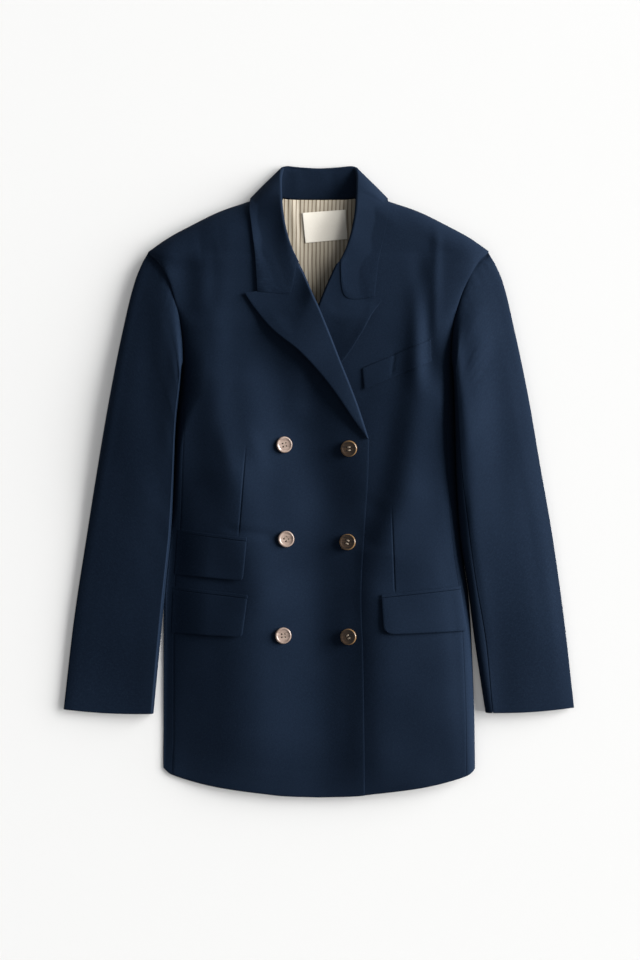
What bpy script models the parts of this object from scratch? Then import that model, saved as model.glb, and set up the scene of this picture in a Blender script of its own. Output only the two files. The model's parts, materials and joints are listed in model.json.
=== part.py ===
"""Double breasted blazer, buttoned and laid flat on its back with its sleeves beside it.

Sizes in the tables are millimetres, and shell() turns them into metres. X runs to the wearer's
left, Y up to the collar, and Z up from the surface that the blazer lies on. Right and left are
the wearer's: the right front lies over the left one. Every cloth piece is a thin wall whose
outer face follows one form: the height of the stuffed-flat garment above the surface.
"""

import math

import bmesh
import bpy
import numpy as np

MM = 0.001

# ---------------------------------------------------------------- driving sizes, millimetres
CLOTH = 1.8                # wall of one layer of wool with its interlining
LAPEL_CLOTH = 2.4          # front turned back with its facing
LINING_CLOTH = 1.0
SEAM = 0.2                 # each piece stops this far short of its seam line
REST_GAP = 0.4             # between a piece and the layer that it lies on
UNDERARM_Y = 159.0
SHOULDER_Y = 300.0
SHOULDER_GROW = 1.6        # how far the collar's fall stands off the shoulder's rounded edge
SEAM_FROM_FOLD = 12.0      # front and side panel seam, in from the folded side edge
BACK_SEAM_FROM_FOLD = 42.0
WIDEST_ROUNDING = 32.0
TIGHTEST_BEND = 3.2
BACK_NECK_RAISE = 3.2      # the collar's fall lies under the back of the neck
ROLL_RADIUS = 1.9
BUTTON_RADIUS = 10.6
BUTTON_HEIGHT = 3.6
BUTTON_HOLE_RADIUS = 1.1
BUTTON_HOLE_SPACING = 2.1

RIGHT, LEFT = -1, 1


def table(names, rows):
    """The rows' columns by name, each as an array."""
    return dict(zip(names.split(), np.array(rows, float).T))


def slopes(xs, ys):
    """Slopes of a smooth curve through the rows that never swings past them."""
    run = np.diff(xs)
    secant = np.diff(ys) / run
    inner = np.where(secant[:-1] * secant[1:] > 0, 1.0, 0.0)
    weight_a = 2 * run[1:] + run[:-1]
    weight_b = run[1:] + 2 * run[:-1]
    with np.errstate(divide="ignore", invalid="ignore"):
        mean = (weight_a + weight_b) / (weight_a / secant[:-1] + weight_b / secant[1:])
    middle = np.where(inner > 0, mean, 0.0)
    return np.concatenate([secant[:1], middle, secant[-1:]])


def column(rows, key, name):
    """A smooth function of the key column that gives the named column."""
    xs = rows[key]
    ys = rows[name]
    tangents = slopes(xs, ys)

    def value(x):
        x = min(max(x, xs[0]), xs[-1])
        i = min(int(np.searchsorted(xs, x, side="right")) - 1, len(xs) - 2)
        step = xs[i + 1] - xs[i]
        t = (x - xs[i]) / step
        ease = t * t * (3 - 2 * t)
        start = t * (1 - t) ** 2 * step * tangents[i]
        end = t * t * (t - 1) * step * tangents[i + 1]
        return ys[i] + (ys[i + 1] - ys[i]) * ease + start + end

    return value


def smooth(t):
    t = min(max(t, 0.0), 1.0)
    return t * t * (3 - 2 * t)


def bulge(t):
    """Quarter round: rises upright from 0 and levels out at 1."""
    t = min(max(t, 0.0), 1.0)
    return math.sqrt(1 - (1 - t) ** 2)


def rounding(mid_height):
    """How far in an edge is rounded, so that a wall can still bend round it."""
    return min(WIDEST_ROUNDING, mid_height ** 2 / TIGHTEST_BEND)


# ---------------------------------------------------------------- the body's form
# Hem to shoulder. right and left: folded side edges, then the armhole seams above the underarm.
# fold: height of the top surface at that edge. split: how far below it the underside is there.
BODY = table("y right left fold split crown", (
    (-412, -204.0, 204.0, 6.0, 0.0, 13.0),
    (-322, -202.0, 203.0, 6.8, 0.0, 15.5),
    (-224, -200.5, 198.6, 7.6, 0.0, 18.0),
    (-149, -197.5, 190.6, 8.2, 0.0, 19.0),
    (-94, -192.5, 181.8, 8.6, 0.0, 20.0),
    (-40, -188.3, 176.3, 9.0, 0.0, 21.5),
    (46, -184.0, 173.4, 10.2, 0.0, 25.0),
    (94, -181.2, 172.6, 11.2, 0.0, 28.0),
    (136, -177.8, 171.6, 12.2, 0.0, 30.6),
    (159, -176.0, 171.4, 15.0, 5.0, 32.0),
    (187, -177.4, 172.8, 19.5, 18.0, 34.0),
    (213, -181.0, 176.2, 25.0, 25.0, 35.0),
    (238, -187.0, 183.2, 29.0, 29.0, 35.0),
    (265, -195.8, 195.0, 29.0, 29.0, 34.0),
    (288, -210.6, 209.4, 21.0, 18.0, 32.0),
    (300, -222.6, 221.0, 14.4, 4.8, 30.0),
    (380, -222.6, 221.0, 14.4, 4.8, 27.0),
))
# Out from the middle of the back: the neck seam, then the shoulder seam, and its height.
SHOULDER = table("x y mid", (
    (0, 369.2, 3.2),
    (34, 369.6, 3.2),
    (54, 372.2, 3.5),
    (66, 376.2, 9.0),
    (88, 367.6, 9.6),
    (128, 353.6, 11.0),
    (168, 334.0, 12.0),
    (194, 320.0, 12.0),
    (222.6, 300.0, 12.0),
))
HEM = table("x y", (
    (0, -410.1),
    (44, -408.6),
    (77, -405.0),
    (109, -401.0),
    (142, -395.6),
    (174, -387.6),
    (192, -381.0),
    (204, -371.0),
))
# The right front's free edge and roll line, and the left front's under it.
RIGHT_EDGE = table("y x", (
    (-410, 59.8),
    (-225, 57.2),
    (-150, 54.8),
    (-60, 59.4),
    (10, 64.0),
    (55, 65.0),
))
RIGHT_ROLL = table("y x", (
    (55, 65.0),
    (101, 50.1),
    (159, 27.3),
    (192, 14.3),
    (229.5, -1.3),
    (248, -9.8),
    (274, -20.8),
    (283, -25.4),
))
LEFT_EDGE = table("y x", (
    (-410, -66.0),
    (0, -66.0),
    (55, -66.0),
))
LEFT_ROLL = table("y x", (
    (55, -66.0),
    (101, -50.1),
    (159, -28.3),
    (192, -15.3),
    (229.5, -1.3),
    (261, 11.7),
    (283, 22.0),
))
# Neck seams of the fronts, from the gorge up to the shoulder seam, for one side.
NECK = table("y x", (
    (283, 29.0),
    (292, 38.0),
    (312, 50.0),
    (335, 58.4),
    (360, 64.4),
    (376.2, 66.0),
))
GORGE_Y = 283.0
BREAK_Y = 55.0
TIP_SPLIT = 2.4            # half the height of the shoulder seam's outer tip
TIP_FROM_X = 192.0
TIP_LENGTH = 26.0
SHOULDER_RELIEF = 0.15     # front and back pull apart by this at the shoulder seam

# Soft folds in the cloth: two ends of each, its half width, and its depth, down if negative.
FOLDS = table("x0 y0 x1 y1 half_width depth", (
    (140, 315, 134, 160, 9.0, -3.2),
    (154, 318, 152, 170, 9.0, 1.8),
    (114, 150, 68, -80, 16.0, -3.0),
    (-161, 300, -161, 200, 9.0, -2.4),
    (-133, 290, -130, 210, 14.0, 1.6),
    (-160, 150, -166, -90, 12.0, -2.6),
    (22, 10, 24, -200, 12.0, -1.8),
    (-70, 0, -66, -200, 18.0, 1.6),
    (120, -150, 128, -330, 16.0, -1.8),
    (-120, -190, -128, -350, 18.0, -1.6),
))

edge_right = column(BODY, "y", "right")
edge_left = column(BODY, "y", "left")
fold_height = column(BODY, "y", "fold")
split_height = column(BODY, "y", "split")
crown_height = column(BODY, "y", "crown")
shoulder_line = column(SHOULDER, "x", "y")
shoulder_mid = column(SHOULDER, "x", "mid")
hem_line = column(HEM, "x", "y")
right_front_edge = column(RIGHT_EDGE, "y", "x")
right_roll = column(RIGHT_ROLL, "y", "x")
left_front_edge = column(LEFT_EDGE, "y", "x")
left_roll = column(LEFT_ROLL, "y", "x")
neck_seam = column(NECK, "y", "x")


def folds(x, y):
    """Height that the soft folds add at a point."""
    total = 0.0
    for x0, y0, x1, y1, half_width, depth in zip(*FOLDS.values()):
        run = np.array([x1 - x0, y1 - y0])
        from_start = np.array([x - x0, y - y0])
        length = math.hypot(*run)
        along = float(from_start @ run) / length ** 2
        across = (from_start[0] * run[1] - from_start[1] * run[0]) / length
        if abs(across) > 3 * half_width or not -0.2 < along < 1.2:
            continue
        ends = smooth((along + 0.2) / 0.4) * smooth((1.2 - along) / 0.4)
        total += depth * ends * math.exp(-(across / half_width) ** 2)
    return total


def side_distance(x, y):
    return max(min(x - edge_right(y), edge_left(y) - x), 0.0)


def under_height(y):
    return max(fold_height(y) - split_height(y), 0.0)


def tip_split(x):
    return TIP_SPLIT * smooth((abs(x) - TIP_FROM_X) / TIP_LENGTH)


def body_top(x, y, grow=0.0):
    """Height of the top of one layer of fronts over the hollow body."""
    edge = fold_height(y)
    rise = bulge(side_distance(x, y) / rounding(edge))
    z = edge + (crown_height(y) + folds(x, y) - edge) * rise
    mid = shoulder_mid(abs(x))
    reach = rounding(mid)
    mid += tip_split(x)
    return mid + (z - mid) * bulge((shoulder_line(abs(x)) + grow - y) / reach) + grow


def body_bottom(x, y, grow=0.0):
    """Height of the underside of the back, over the collar's fall at the neck."""
    inside = bulge(side_distance(x, y) / rounding(fold_height(y)))
    z = under_height(y) * (1 - inside)
    z += BACK_NECK_RAISE * smooth((y - 316) / 38) * smooth((128 - abs(x)) / 30)
    mid = shoulder_mid(abs(x))
    reach = rounding(mid)
    mid -= tip_split(x)
    return mid + (z - mid) * bulge((shoulder_line(abs(x)) + grow - y) / reach) - grow


def back_inside(x, y):
    return body_bottom(x, y) + CLOTH


OVERLAP_GAP = 0.7          # between the two fronts
UNDER_LAPEL_GAP = 2.2      # room for the left lapel between them above the break
LIFT_RUN = 78.0            # the length over which that room opens
LIFT_REACH = 18.0          # the lift starts this far before the under edge
LIFT_BEND = 14.0           # and is complete within this


def right_front_lift(x, y):
    """How far the right front is lifted by the left front and its lapel under it."""
    under_edge = left_front_edge(y) if y < BREAK_Y else left_roll(y)
    front = CLOTH + OVERLAP_GAP
    lapel = (LAPEL_CLOTH + UNDER_LAPEL_GAP) * smooth((y - BREAK_Y + LIFT_RUN) / LIFT_RUN)
    return (front + lapel) * smooth((x - under_edge + LIFT_REACH) / LIFT_BEND)


def right_front_top(x, y):
    return body_top(x, y) + right_front_lift(x, y)


# ---------------------------------------------------------------- making shells
def collection(name):
    group = bpy.data.collections.new(name)
    bpy.context.scene.collection.children.link(group)
    return group


def finish(name, colour, roughness, metallic=0.0):
    material = bpy.data.materials.new(name)
    material.use_nodes = True
    shader = material.node_tree.nodes["Principled BSDF"]
    shader.inputs["Base Color"].default_value = (*colour, 1.0)
    shader.inputs["Roughness"].default_value = roughness
    shader.inputs["Metallic"].default_value = metallic
    return material


def clear_scene():
    for item in list(bpy.data.objects):
        bpy.data.objects.remove(item, do_unlink=True)


def add_object(name, mesh_data, material, group):
    item = bpy.data.objects.new(name, mesh_data)
    mesh_data.materials.append(material)
    group.objects.link(item)
    return item


def outer_and_inner(point, u, v, wall, outward, proud):
    """The wall's two faces at u, v: the outer one stands proud of the surface by that much."""
    step = 1e-4
    before_u, after_u = max(u - step, 0.0), min(u + step, 1.0)
    before_v, after_v = max(v - step, 0.0), min(v + step, 1.0)
    along_u = np.array(point(after_u, v)) - np.array(point(before_u, v))
    along_v = np.array(point(u, after_v)) - np.array(point(u, before_v))
    normal = np.cross(along_u, along_v)
    normal *= outward / np.linalg.norm(normal)
    outer = np.array(point(u, v)) + normal * proud
    return outer, outer - normal * wall


def shell(name, group, material, point, across, along, wall=CLOTH, outward=1, proud=0.0):
    """A closed wall of cloth on point(u, v), on a grid at the given stops from 0 to 1."""
    build = bmesh.new()
    columns, rows = len(across) - 1, len(along) - 1
    bmesh.ops.create_grid(build, x_segments=columns, y_segments=rows, size=1.0)
    for vert in build.verts:
        column_number = round((vert.co.x + 1) / 2 * columns)
        row_number = round((vert.co.y + 1) / 2 * rows)
        vert.co = (column_number, row_number, 0)
    made = bmesh.ops.extrude_face_region(build, geom=build.faces[:], use_keep_orig=True)
    inner_side = {item for item in made["geom"] if isinstance(item, bmesh.types.BMVert)}
    for vert in build.verts:
        u, v = across[round(vert.co.x)], along[round(vert.co.y)]
        outer, inner = outer_and_inner(point, u, v, wall, outward, proud)
        vert.co = (inner if vert in inner_side else outer) * MM
    bmesh.ops.recalc_face_normals(build, faces=build.faces[:])
    mesh_data = bpy.data.meshes.new(name)
    build.to_mesh(mesh_data)
    build.free()
    mesh_data.shade_smooth()
    mesh_data.set_sharp_from_angle(angle=math.radians(40))
    return add_object(name, mesh_data, material, group)


def even(count):
    return [i / count for i in range(count + 1)]


def stops(*spans):
    """Stops from spans of (start, end, count)."""
    found = [spans[0][0]]
    for start, end, count in spans:
        found += [start + (end - start) * (i + 1) / count for i in range(count)]
    return found


def coons(low, high, start, end):
    """The plan patch between four curves: low and high along u, start and end along v."""
    def plan(u, v):
        edges = (1 - v) * low(u) + v * high(u) + (1 - u) * start(v) + u * end(v)
        corners = (1 - u) * (1 - v) * low(0) + u * (1 - v) * low(1)
        corners = corners + (1 - u) * v * high(0) + u * v * high(1)
        return edges - corners
    return plan


def inset(value, size):
    """A stop moved in from 0 and 1 by the seam gap of a piece of this size."""
    gap = SEAM / size
    return gap + value * (1 - 2 * gap)


# ---------------------------------------------------------------- fronts
# Where the rows of a front lie at its side seam and at its free edge, above the hem.
FRONT_ROWS = table("v side_y centre_y", (
    (0.54, 55.0, 55.0),
    (0.70, 159.0, 190.0),
    (0.84, 240.0, 283.0),
    (1.0, 300.0, 376.2),
))
SIDE_HEM_Y = -376.0
UNDERARM_SEAM = 1.2        # what is left of a side seam's distance from the fold at the underarm
BEHIND_ROLL = 3.7          # the front ends this far behind the lapel's roll line
FRONT_WIDTH = 160.0


def side_x(side, y):
    return edge_right(y) if side == RIGHT else edge_left(y)


def seam_inset(y, full):
    """Distance of a side seam from the fold, closing to nothing just above the underarm."""
    least = UNDERARM_SEAM * smooth((UNDERARM_Y + 10 - y) / 10)
    return least + (full - least) * smooth((UNDERARM_Y - y) / 110)


def front_plan(side):
    """Plan patch of a front: u from its side seam and armhole to its free edge, v from the hem."""
    free_edge = right_front_edge if side == RIGHT else left_front_edge
    roll = right_roll if side == RIGHT else left_roll

    rows = [0.0, *FRONT_ROWS["v"]]
    side_hem = hem_line(abs(side_x(side, SIDE_HEM_Y)) - SEAM_FROM_FOLD)
    side_ys = [side_hem, *FRONT_ROWS["side_y"]]
    centre_ys = [hem_line(60), *FRONT_ROWS["centre_y"]]

    def start(v):
        y = np.interp(v, rows, side_ys)
        x = side_x(side, y) - side * seam_inset(y, SEAM_FROM_FOLD)
        return np.array([x, y])

    def end(v):
        y = np.interp(v, rows, centre_ys)
        if y <= BREAK_Y:
            return np.array([free_edge(y), y])
        if y <= GORGE_Y:
            return np.array([roll(y) + side * BEHIND_ROLL * smooth((y - BREAK_Y) / 12), y])
        return np.array([side * neck_seam(y), y])

    def low(u):
        x = start(0)[0] + (end(0)[0] - start(0)[0]) * u
        return np.array([x, hem_line(abs(x))])

    def high(u):
        outer, inner = start(1), end(1)
        x = outer[0] + (inner[0] - outer[0]) * u
        return np.array([x, shoulder_line(abs(x))])

    def pinned(curve, first, last):
        def moved(v):
            return curve(v) + (1 - v) * (first - curve(0)) + v * (last - curve(1))
        return moved

    return coons(low, high, pinned(start, low(0), high(0)), pinned(end, low(1), high(1)))


def shoulder_relief(v):
    return SHOULDER_RELIEF * smooth((v - 0.97) / 0.03)


def make_front(side, group, material):
    plan = front_plan(side)
    height = right_front_top if side == RIGHT else body_top

    def point(u, v):
        x, y = plan(inset(u, FRONT_WIDTH), v)
        return x, y, height(x, y) + shoulder_relief(v)

    across = stops((0, 0.12, 3), (0.12, 1, 10))
    along = stops((0, 0.54, 8), (0.54, 0.56, 1), (0.56, 0.70, 3), (0.70, 0.84, 5), (0.84, 0.95, 3),
                  (0.95, 1, 3))
    name = "front_right" if side == RIGHT else "front_left"
    return shell(name, group, material, point, across, along, outward=-side)


# ---------------------------------------------------------------- back and side panels
BACK_HEM_SHORTER = 3.0
UNDERARM_V = 0.70          # share of a panel's height at which the armhole starts


def make_back(side, group, material):
    def start(v):
        top = shoulder_line(0)
        low_y = hem_line(0) + BACK_HEM_SHORTER
        return np.array([side * SEAM, low_y + (top - low_y) * v])

    seam_x = abs(side_x(side, SIDE_HEM_Y)) - BACK_SEAM_FROM_FOLD
    ys = (hem_line(seam_x) + BACK_HEM_SHORTER, BREAK_Y, UNDERARM_Y, SHOULDER_Y)

    def end(v):
        y = np.interp(v, (0, 0.54, UNDERARM_V, 1), ys)
        x = side_x(side, y) - side * seam_inset(y, BACK_SEAM_FROM_FOLD)
        return np.array([x - side * SEAM, y])

    def low(u):
        x = start(0)[0] + (end(0)[0] - start(0)[0]) * u
        return np.array([x, hem_line(abs(x)) + BACK_HEM_SHORTER])

    def high(u):
        x = start(1)[0] + (end(1)[0] - start(1)[0]) * u
        return np.array([x, shoulder_line(abs(x))])

    corner = low(1)

    def end_from_hem(v):
        return end(v) + (1 - v) * (corner - end(0))

    plan = coons(low, high, start, end_from_hem)

    def point(u, v):
        x, y = plan(u, v)
        return x, y, body_bottom(x, y) - shoulder_relief(v)

    across = stops((0, 0.22, 2), (0.22, 0.42, 3), (0.42, 0.9, 3), (0.9, 1, 2))
    along = stops((0, 0.54, 8), (0.54, 0.56, 1), (0.56, 0.70, 3), (0.70, 0.90, 4), (0.90, 0.96, 2),
                  (0.96, 1, 2))
    name = "back_right" if side == RIGHT else "back_left"
    return shell(name, group, material, point, across, along, outward=-side)


def make_side_panel(side, group, material):
    """A strip from the front's seam round the folded edge to the back's seam."""
    def point(u, v):
        turn = 2 * u - 1
        reach = SEAM_FROM_FOLD if turn < 0 else BACK_SEAM_FROM_FOLD
        hem_x = abs(side_x(side, SIDE_HEM_Y)) - reach * turn ** 2
        low_y = hem_line(hem_x) + BACK_HEM_SHORTER * smooth(u * 2)
        y = np.interp(v, (0, 0.54, UNDERARM_V), (low_y, BREAK_Y, UNDERARM_Y))
        distance = (seam_inset(y, reach) - SEAM) * turn ** 2
        x = side_x(side, y) - side * distance
        z = body_top(x, y) if turn < 0 else body_bottom(x, y)
        return x, y, z

    across = stops((0, 0.5, 3), (0.5, 0.8, 3), (0.8, 1, 1))
    along = stops((0, 0.54, 8), (0.54, 0.56, 1), (0.56, 0.70, 3))
    name = "side_panel_right" if side == RIGHT else "side_panel_left"
    return shell(name, group, material, point, across, along, outward=side)


# ---------------------------------------------------------------- sleeves
# From the armhole to the cuff: the outer and the inner folded edges, the height of those folds,
# the height of the crown, and how far the seam at the front of the arm lies in from the fold.
SLEEVE_RIGHT = table("v outer_x outer_y inner_x inner_y fold crown forearm", (
    (0.0, -223.9, 299.8, -177.8, 159.2, 12.3, 30.0, 0.6),
    (0.07, -239.4, 263.0, -180.4, 127.0, 13.4, 40.0, 0.8),
    (0.19, -255.5, 198.0, -185.6, 78.0, 14.0, 44.0, 1.0),
    (0.35, -273.0, 110.0, -189.0, 5.0, 13.4, 40.0, 1.0),
    (0.52, -288.5, 20.0, -193.0, -65.0, 12.2, 33.0, 1.0),
    (0.68, -302.6, -68.0, -200.0, -135.0, 10.8, 27.0, 1.0),
    (0.84, -320.0, -182.0, -206.6, -205.0, 9.6, 22.0, 1.0),
    (1.0, -333.2, -296.0, -215.8, -301.0, 8.4, 18.5, 1.0),
))
SLEEVE_LEFT = table("v outer_x outer_y inner_x inner_y fold crown forearm", (
    (0.0, 221.8, 299.8, 173.2, 159.2, 12.3, 30.0, 0.6),
    (0.07, 238.6, 263.0, 175.4, 127.0, 13.4, 40.0, 4.0),
    (0.19, 254.6, 198.0, 176.8, 78.0, 14.0, 44.0, 8.0),
    (0.35, 273.0, 110.0, 179.0, 5.0, 13.4, 40.0, 12.0),
    (0.52, 288.5, 20.0, 183.0, -65.0, 12.2, 33.0, 16.0),
    (0.68, 304.0, -68.0, 193.6, -135.0, 10.8, 27.0, 13.0),
    (0.84, 320.0, -182.0, 202.6, -205.0, 9.6, 22.0, 15.0),
    (1.0, 332.8, -293.6, 217.1, -300.0, 8.4, 18.5, 9.0),
))
HINDARM_FROM_FOLD = 28.0
CUFF_BOW = 2.2
ARMHOLE_BLEND = 30.0
ARMHOLE_GAP = 0.9          # curved seam, so a little more than the straight ones
SLEEVE_LENGTH = 520.0
SEAM_ANGLE = 0.012         # each half of a sleeve stops this far short of its seam
# A crease that runs down the upper arm, and its depth and half width in shares of the width.
SLEEVE_FOLDS = table("u0 v0 u1 v1 half_width depth", (
    (0.72, 0.02, 0.94, 0.22, 0.07, -4.0),
    (0.55, 0.30, 0.62, 0.62, 0.12, -2.0),
    (0.35, 0.55, 0.30, 0.95, 0.12, 1.6),
))


def sleeve_folds(u, v):
    total = 0.0
    for u0, v0, u1, v1, half_width, depth in zip(*SLEEVE_FOLDS.values()):
        along = (v - v0) / (v1 - v0)
        across = u - (u0 + (u1 - u0) * along)
        ends = smooth((along + 0.2) / 0.5) * smooth((1.2 - along) / 0.5)
        total += depth * ends * math.exp(-(across / half_width) ** 2)
    return total


def sleeve_ring(side):
    """A function of an angle round the sleeve and a place along it that gives the surface."""
    rows = SLEEVE_RIGHT if side == RIGHT else SLEEVE_LEFT
    outer_x, outer_y = column(rows, "v", "outer_x"), column(rows, "v", "outer_y")
    inner_x, inner_y = column(rows, "v", "inner_x"), column(rows, "v", "inner_y")
    fold, crown = column(rows, "v", "fold"), column(rows, "v", "crown")

    def start(v):
        return np.array([outer_x(v), outer_y(v)])

    def end(v):
        return np.array([inner_x(v), inner_y(v)])

    def armhole_y(u):
        return SHOULDER_Y + (UNDERARM_Y - SHOULDER_Y) * u ** 1.25

    def pinned_seam(y):
        return np.array([side_x(side, y) + side * ARMHOLE_GAP, y])

    def armhole(u):
        y = armhole_y(u)
        return pinned_seam(y) + (1 - u) * (start(0) - pinned_seam(SHOULDER_Y)) + u * (
            end(0) - pinned_seam(UNDERARM_Y))

    def cuff(u):
        straight = start(1) * (1 - u) + end(1) * u
        return straight - np.array([0, CUFF_BOW * math.sin(math.pi * u)])

    plan = coons(armhole, cuff, start, end)

    def ring(angle, v):
        u = (1 + math.cos(angle)) / 2
        x, y = plan(u, v)
        width = np.linalg.norm(end(v) - start(v))
        mid = fold(v)
        reach = rounding(mid)
        inside = bulge(u * width / reach) * bulge((1 - u) * width / reach)
        from_armhole = bulge(v * SLEEVE_LENGTH / ARMHOLE_BLEND)
        seam_y = armhole_y(u)
        if math.sin(angle) >= 0:
            form = mid + (crown(v) + sleeve_folds(u, v) - mid) * inside
            seam_z = fold_height(seam_y)
        else:
            form = mid * (1 - inside)
            seam_z = under_height(seam_y)
        return x, y, seam_z + (form - seam_z) * from_armhole

    def angle_at(distance, v):
        """Angle whose plan distance from the inner fold is this."""
        width = np.linalg.norm(end(v) - start(v))
        return math.acos(max(-1.0, 1 - 2 * distance / width))

    return ring, angle_at, column(rows, "v", "forearm")


def make_sleeve(side, group, material):
    ring, angle_at, forearm = sleeve_ring(side)
    word = "right" if side == RIGHT else "left"

    def forearm_angle(v):
        return angle_at(forearm(v), v)

    def hindarm_angle(v):
        return math.pi + angle_at(HINDARM_FROM_FOLD, v)

    def top(u, v):
        first = forearm_angle(v) + SEAM_ANGLE
        last = hindarm_angle(v) - SEAM_ANGLE
        return ring(first + (last - first) * u, v)

    def under(u, v):
        first = hindarm_angle(v) + SEAM_ANGLE
        last = 2 * math.pi + forearm_angle(v) - SEAM_ANGLE
        return ring(first + (last - first) * u, v)

    along = stops((0, 0.08, 3), (0.08, 0.3, 4), (0.3, 1, 7))
    shell("top_sleeve_" + word, group, material, top, even(14), along, outward=-side)
    shell("under_sleeve_" + word, group, material, under, even(9), along, outward=-side)


# ---------------------------------------------------------------- collar
# From the middle of the back round to the gorge: plan places of the neck seam, the roll, the
# middle of the fall and its edge, their heights, and how far the fall has turned from under the
# stand (0) to over it (180). Heights are above the surface, or above the fronts where on is 1.
COLLAR = table(
    "neck_x neck_y roll_x roll_y fall_x fall_y edge_x edge_y neck_z roll_z fall_z edge_z turn on", (
        (0.0, 370.0, 0.0, 406.6, 0.0, 384.0, 0.0, 359.0, 4.1, 4.8, 0.95, 0.95, 0, 0),
        (24.0, 370.2, 23.0, 407.8, 26.0, 385.0, 27.0, 359.5, 4.1, 4.9, 0.95, 0.95, 0, 0),
        (45.0, 371.8, 41.0, 409.2, 54.0, 388.0, 64.0, 361.5, 4.6, 5.6, 1.0, 0.95, 20, 0),
        (62.5, 378.2, 47.4, 407.6, 68.0, 390.8, 90.4, 370.6, 8.6, 8.4, 8.0, 8.6, 85, 0),
        (65.0, 377.6, 49.6, 395.0, 71.0, 384.0, 92.6, 365.0, 12.5, 16.0, 17.0, 17.0, 130, 0),
        (64.6, 369.0, 49.0, 378.0, 70.0, 371.0, 92.0, 354.5, 21.0, 26.0, 27.0, 26.0, 160, 0),
        (62.0, 355.0, 47.4, 355.0, 67.0, 349.0, 89.4, 339.0, -0.9, 5.0, 3.6, 1.6, 180, 1),
        (56.4, 333.0, 43.0, 328.0, 63.0, 323.0, 85.6, 318.0, -0.9, 4.6, 3.6, 1.6, 180, 1),
        (45.6, 310.0, 35.2, 302.6, 56.0, 295.0, 82.4, 292.0, -0.9, 4.4, 3.8, 1.8, 180, 1),
        (33.0, 292.0, 26.6, 284.6, 37.0, 244.4, 79.4, 247.0, -0.9, 3.6, 5.0, 3.0, 180, 1),
    ))
LEFT_EDGE_SHIFT = (-7.0, -6.4)     # the left gorge lies lower and nearer the middle
COLLAR_ROWS_EACH_SIDE = len(COLLAR["turn"]) - 1


def collar_row(number, side):
    """The four places of one collar row, with their heights made absolute."""
    places = []
    for place in ("neck", "roll", "fall", "edge"):
        x = side * COLLAR[place + "_x"][number]
        y = COLLAR[place + "_y"][number]
        if side == LEFT and place in ("fall", "edge"):
            share = smooth((number - 6) / (COLLAR_ROWS_EACH_SIDE - 6))
            x += LEFT_EDGE_SHIFT[0] * share * (0.4 if place == "fall" else 1.0)
            y += LEFT_EDGE_SHIFT[1] * share * (0.6 if place == "fall" else 1.0)
        base = body_top(x, y) if COLLAR["on"][number] else 0.0
        places += [x, y, base + COLLAR[place + "_z"][number]]
    return places + [COLLAR["turn"][number]]


def collar_surface():
    """A function of a place round the neck, -1 right to 1 left, and one across the collar."""
    numbers = range(-COLLAR_ROWS_EACH_SIDE, COLLAR_ROWS_EACH_SIDE + 1)
    rows = [(n, *collar_row(abs(n), LEFT if n > 0 else RIGHT)) for n in numbers]
    names = "n nx ny nz rx ry rz fx fy fz ex ey ez turn"
    columns = table(names, rows)
    value = {name: column(columns, "n", name) for name in names.split()[1:]}

    def centre(round_neck, across):
        n = round_neck * COLLAR_ROWS_EACH_SIDE
        side = LEFT if n > 0 else RIGHT
        neck, roll, fall, edge = (
            np.array([value[place + axis](n) for axis in "xyz"]) for place in "nrfe")
        toward = np.array([roll[0] - neck[0], roll[1] - neck[1], 0.0])
        toward /= np.linalg.norm(toward)
        outside = np.array([toward[1], -toward[0], 0.0]) * side
        turn = math.radians(value["turn"](n))
        over = math.cos(turn) * np.array([0, 0, -1.0]) + math.sin(turn) * outside
        middle = roll - toward * ROLL_RADIUS
        stand_end = middle - over * ROLL_RADIUS
        fall_start = middle + over * ROLL_RADIUS
        if across < 0.3:
            t = across / 0.3
            return neck + (stand_end - neck) * t
        if across < 0.4:
            angle = math.pi * ((across - 0.3) / 0.1 - 0.5)
            return middle + ROLL_RADIUS * (toward * math.cos(angle) + over * math.sin(angle))
        t = (across - 0.4) / 0.6
        bend = 2 * fall - (fall_start + edge) / 2
        place = (1 - t) ** 2 * fall_start + 2 * t * (1 - t) * bend + t * t * edge
        half = CLOTH / 2
        place[2] = max(place[2], half + 0.02)
        if abs(n) >= 3.4 and place[1] < shoulder_line(abs(place[0])) + SHOULDER_GROW:
            rest = body_top(place[0], place[1], SHOULDER_GROW) + half
            place[2] = max(place[2], rest)
        return place

    return centre


def make_collar(group, material):
    centre = collar_surface()

    def point(u, v):
        return centre(2 * v - 1, u)

    across = stops((0, 0.3, 2), (0.3, 0.4, 4), (0.4, 1, 6))
    along = stops((0, 0.28, 9), (0.28, 0.72, 18), (0.72, 1, 9))
    return shell("collar", group, material, point, across, along, proud=CLOTH / 2)


# ---------------------------------------------------------------- lapels
# Outer edges from the break up to the peak, and the line from the roll along the gorge to it.
LAPEL_EDGE_RIGHT = table("v x y", (
    (0.0, 61.4, 57.4),
    (0.14, 45.0, 81.0),
    (0.35, 13.0, 127.0),
    (0.58, -24.7, 169.0),
    (0.76, -60.5, 198.3),
    (0.88, -80.0, 221.0),
    (1.0, -96.4, 245.2),
))
LAPEL_EDGE_LEFT = table("v x y", (
    (0.0, -62.4, 57.4),
    (0.14, -45.0, 81.0),
    (0.35, -10.0, 119.0),
    (0.58, 30.0, 156.0),
    (0.76, 55.9, 194.4),
    (0.88, 69.0, 218.0),
    (1.0, 82.0, 235.4),
))
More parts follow.
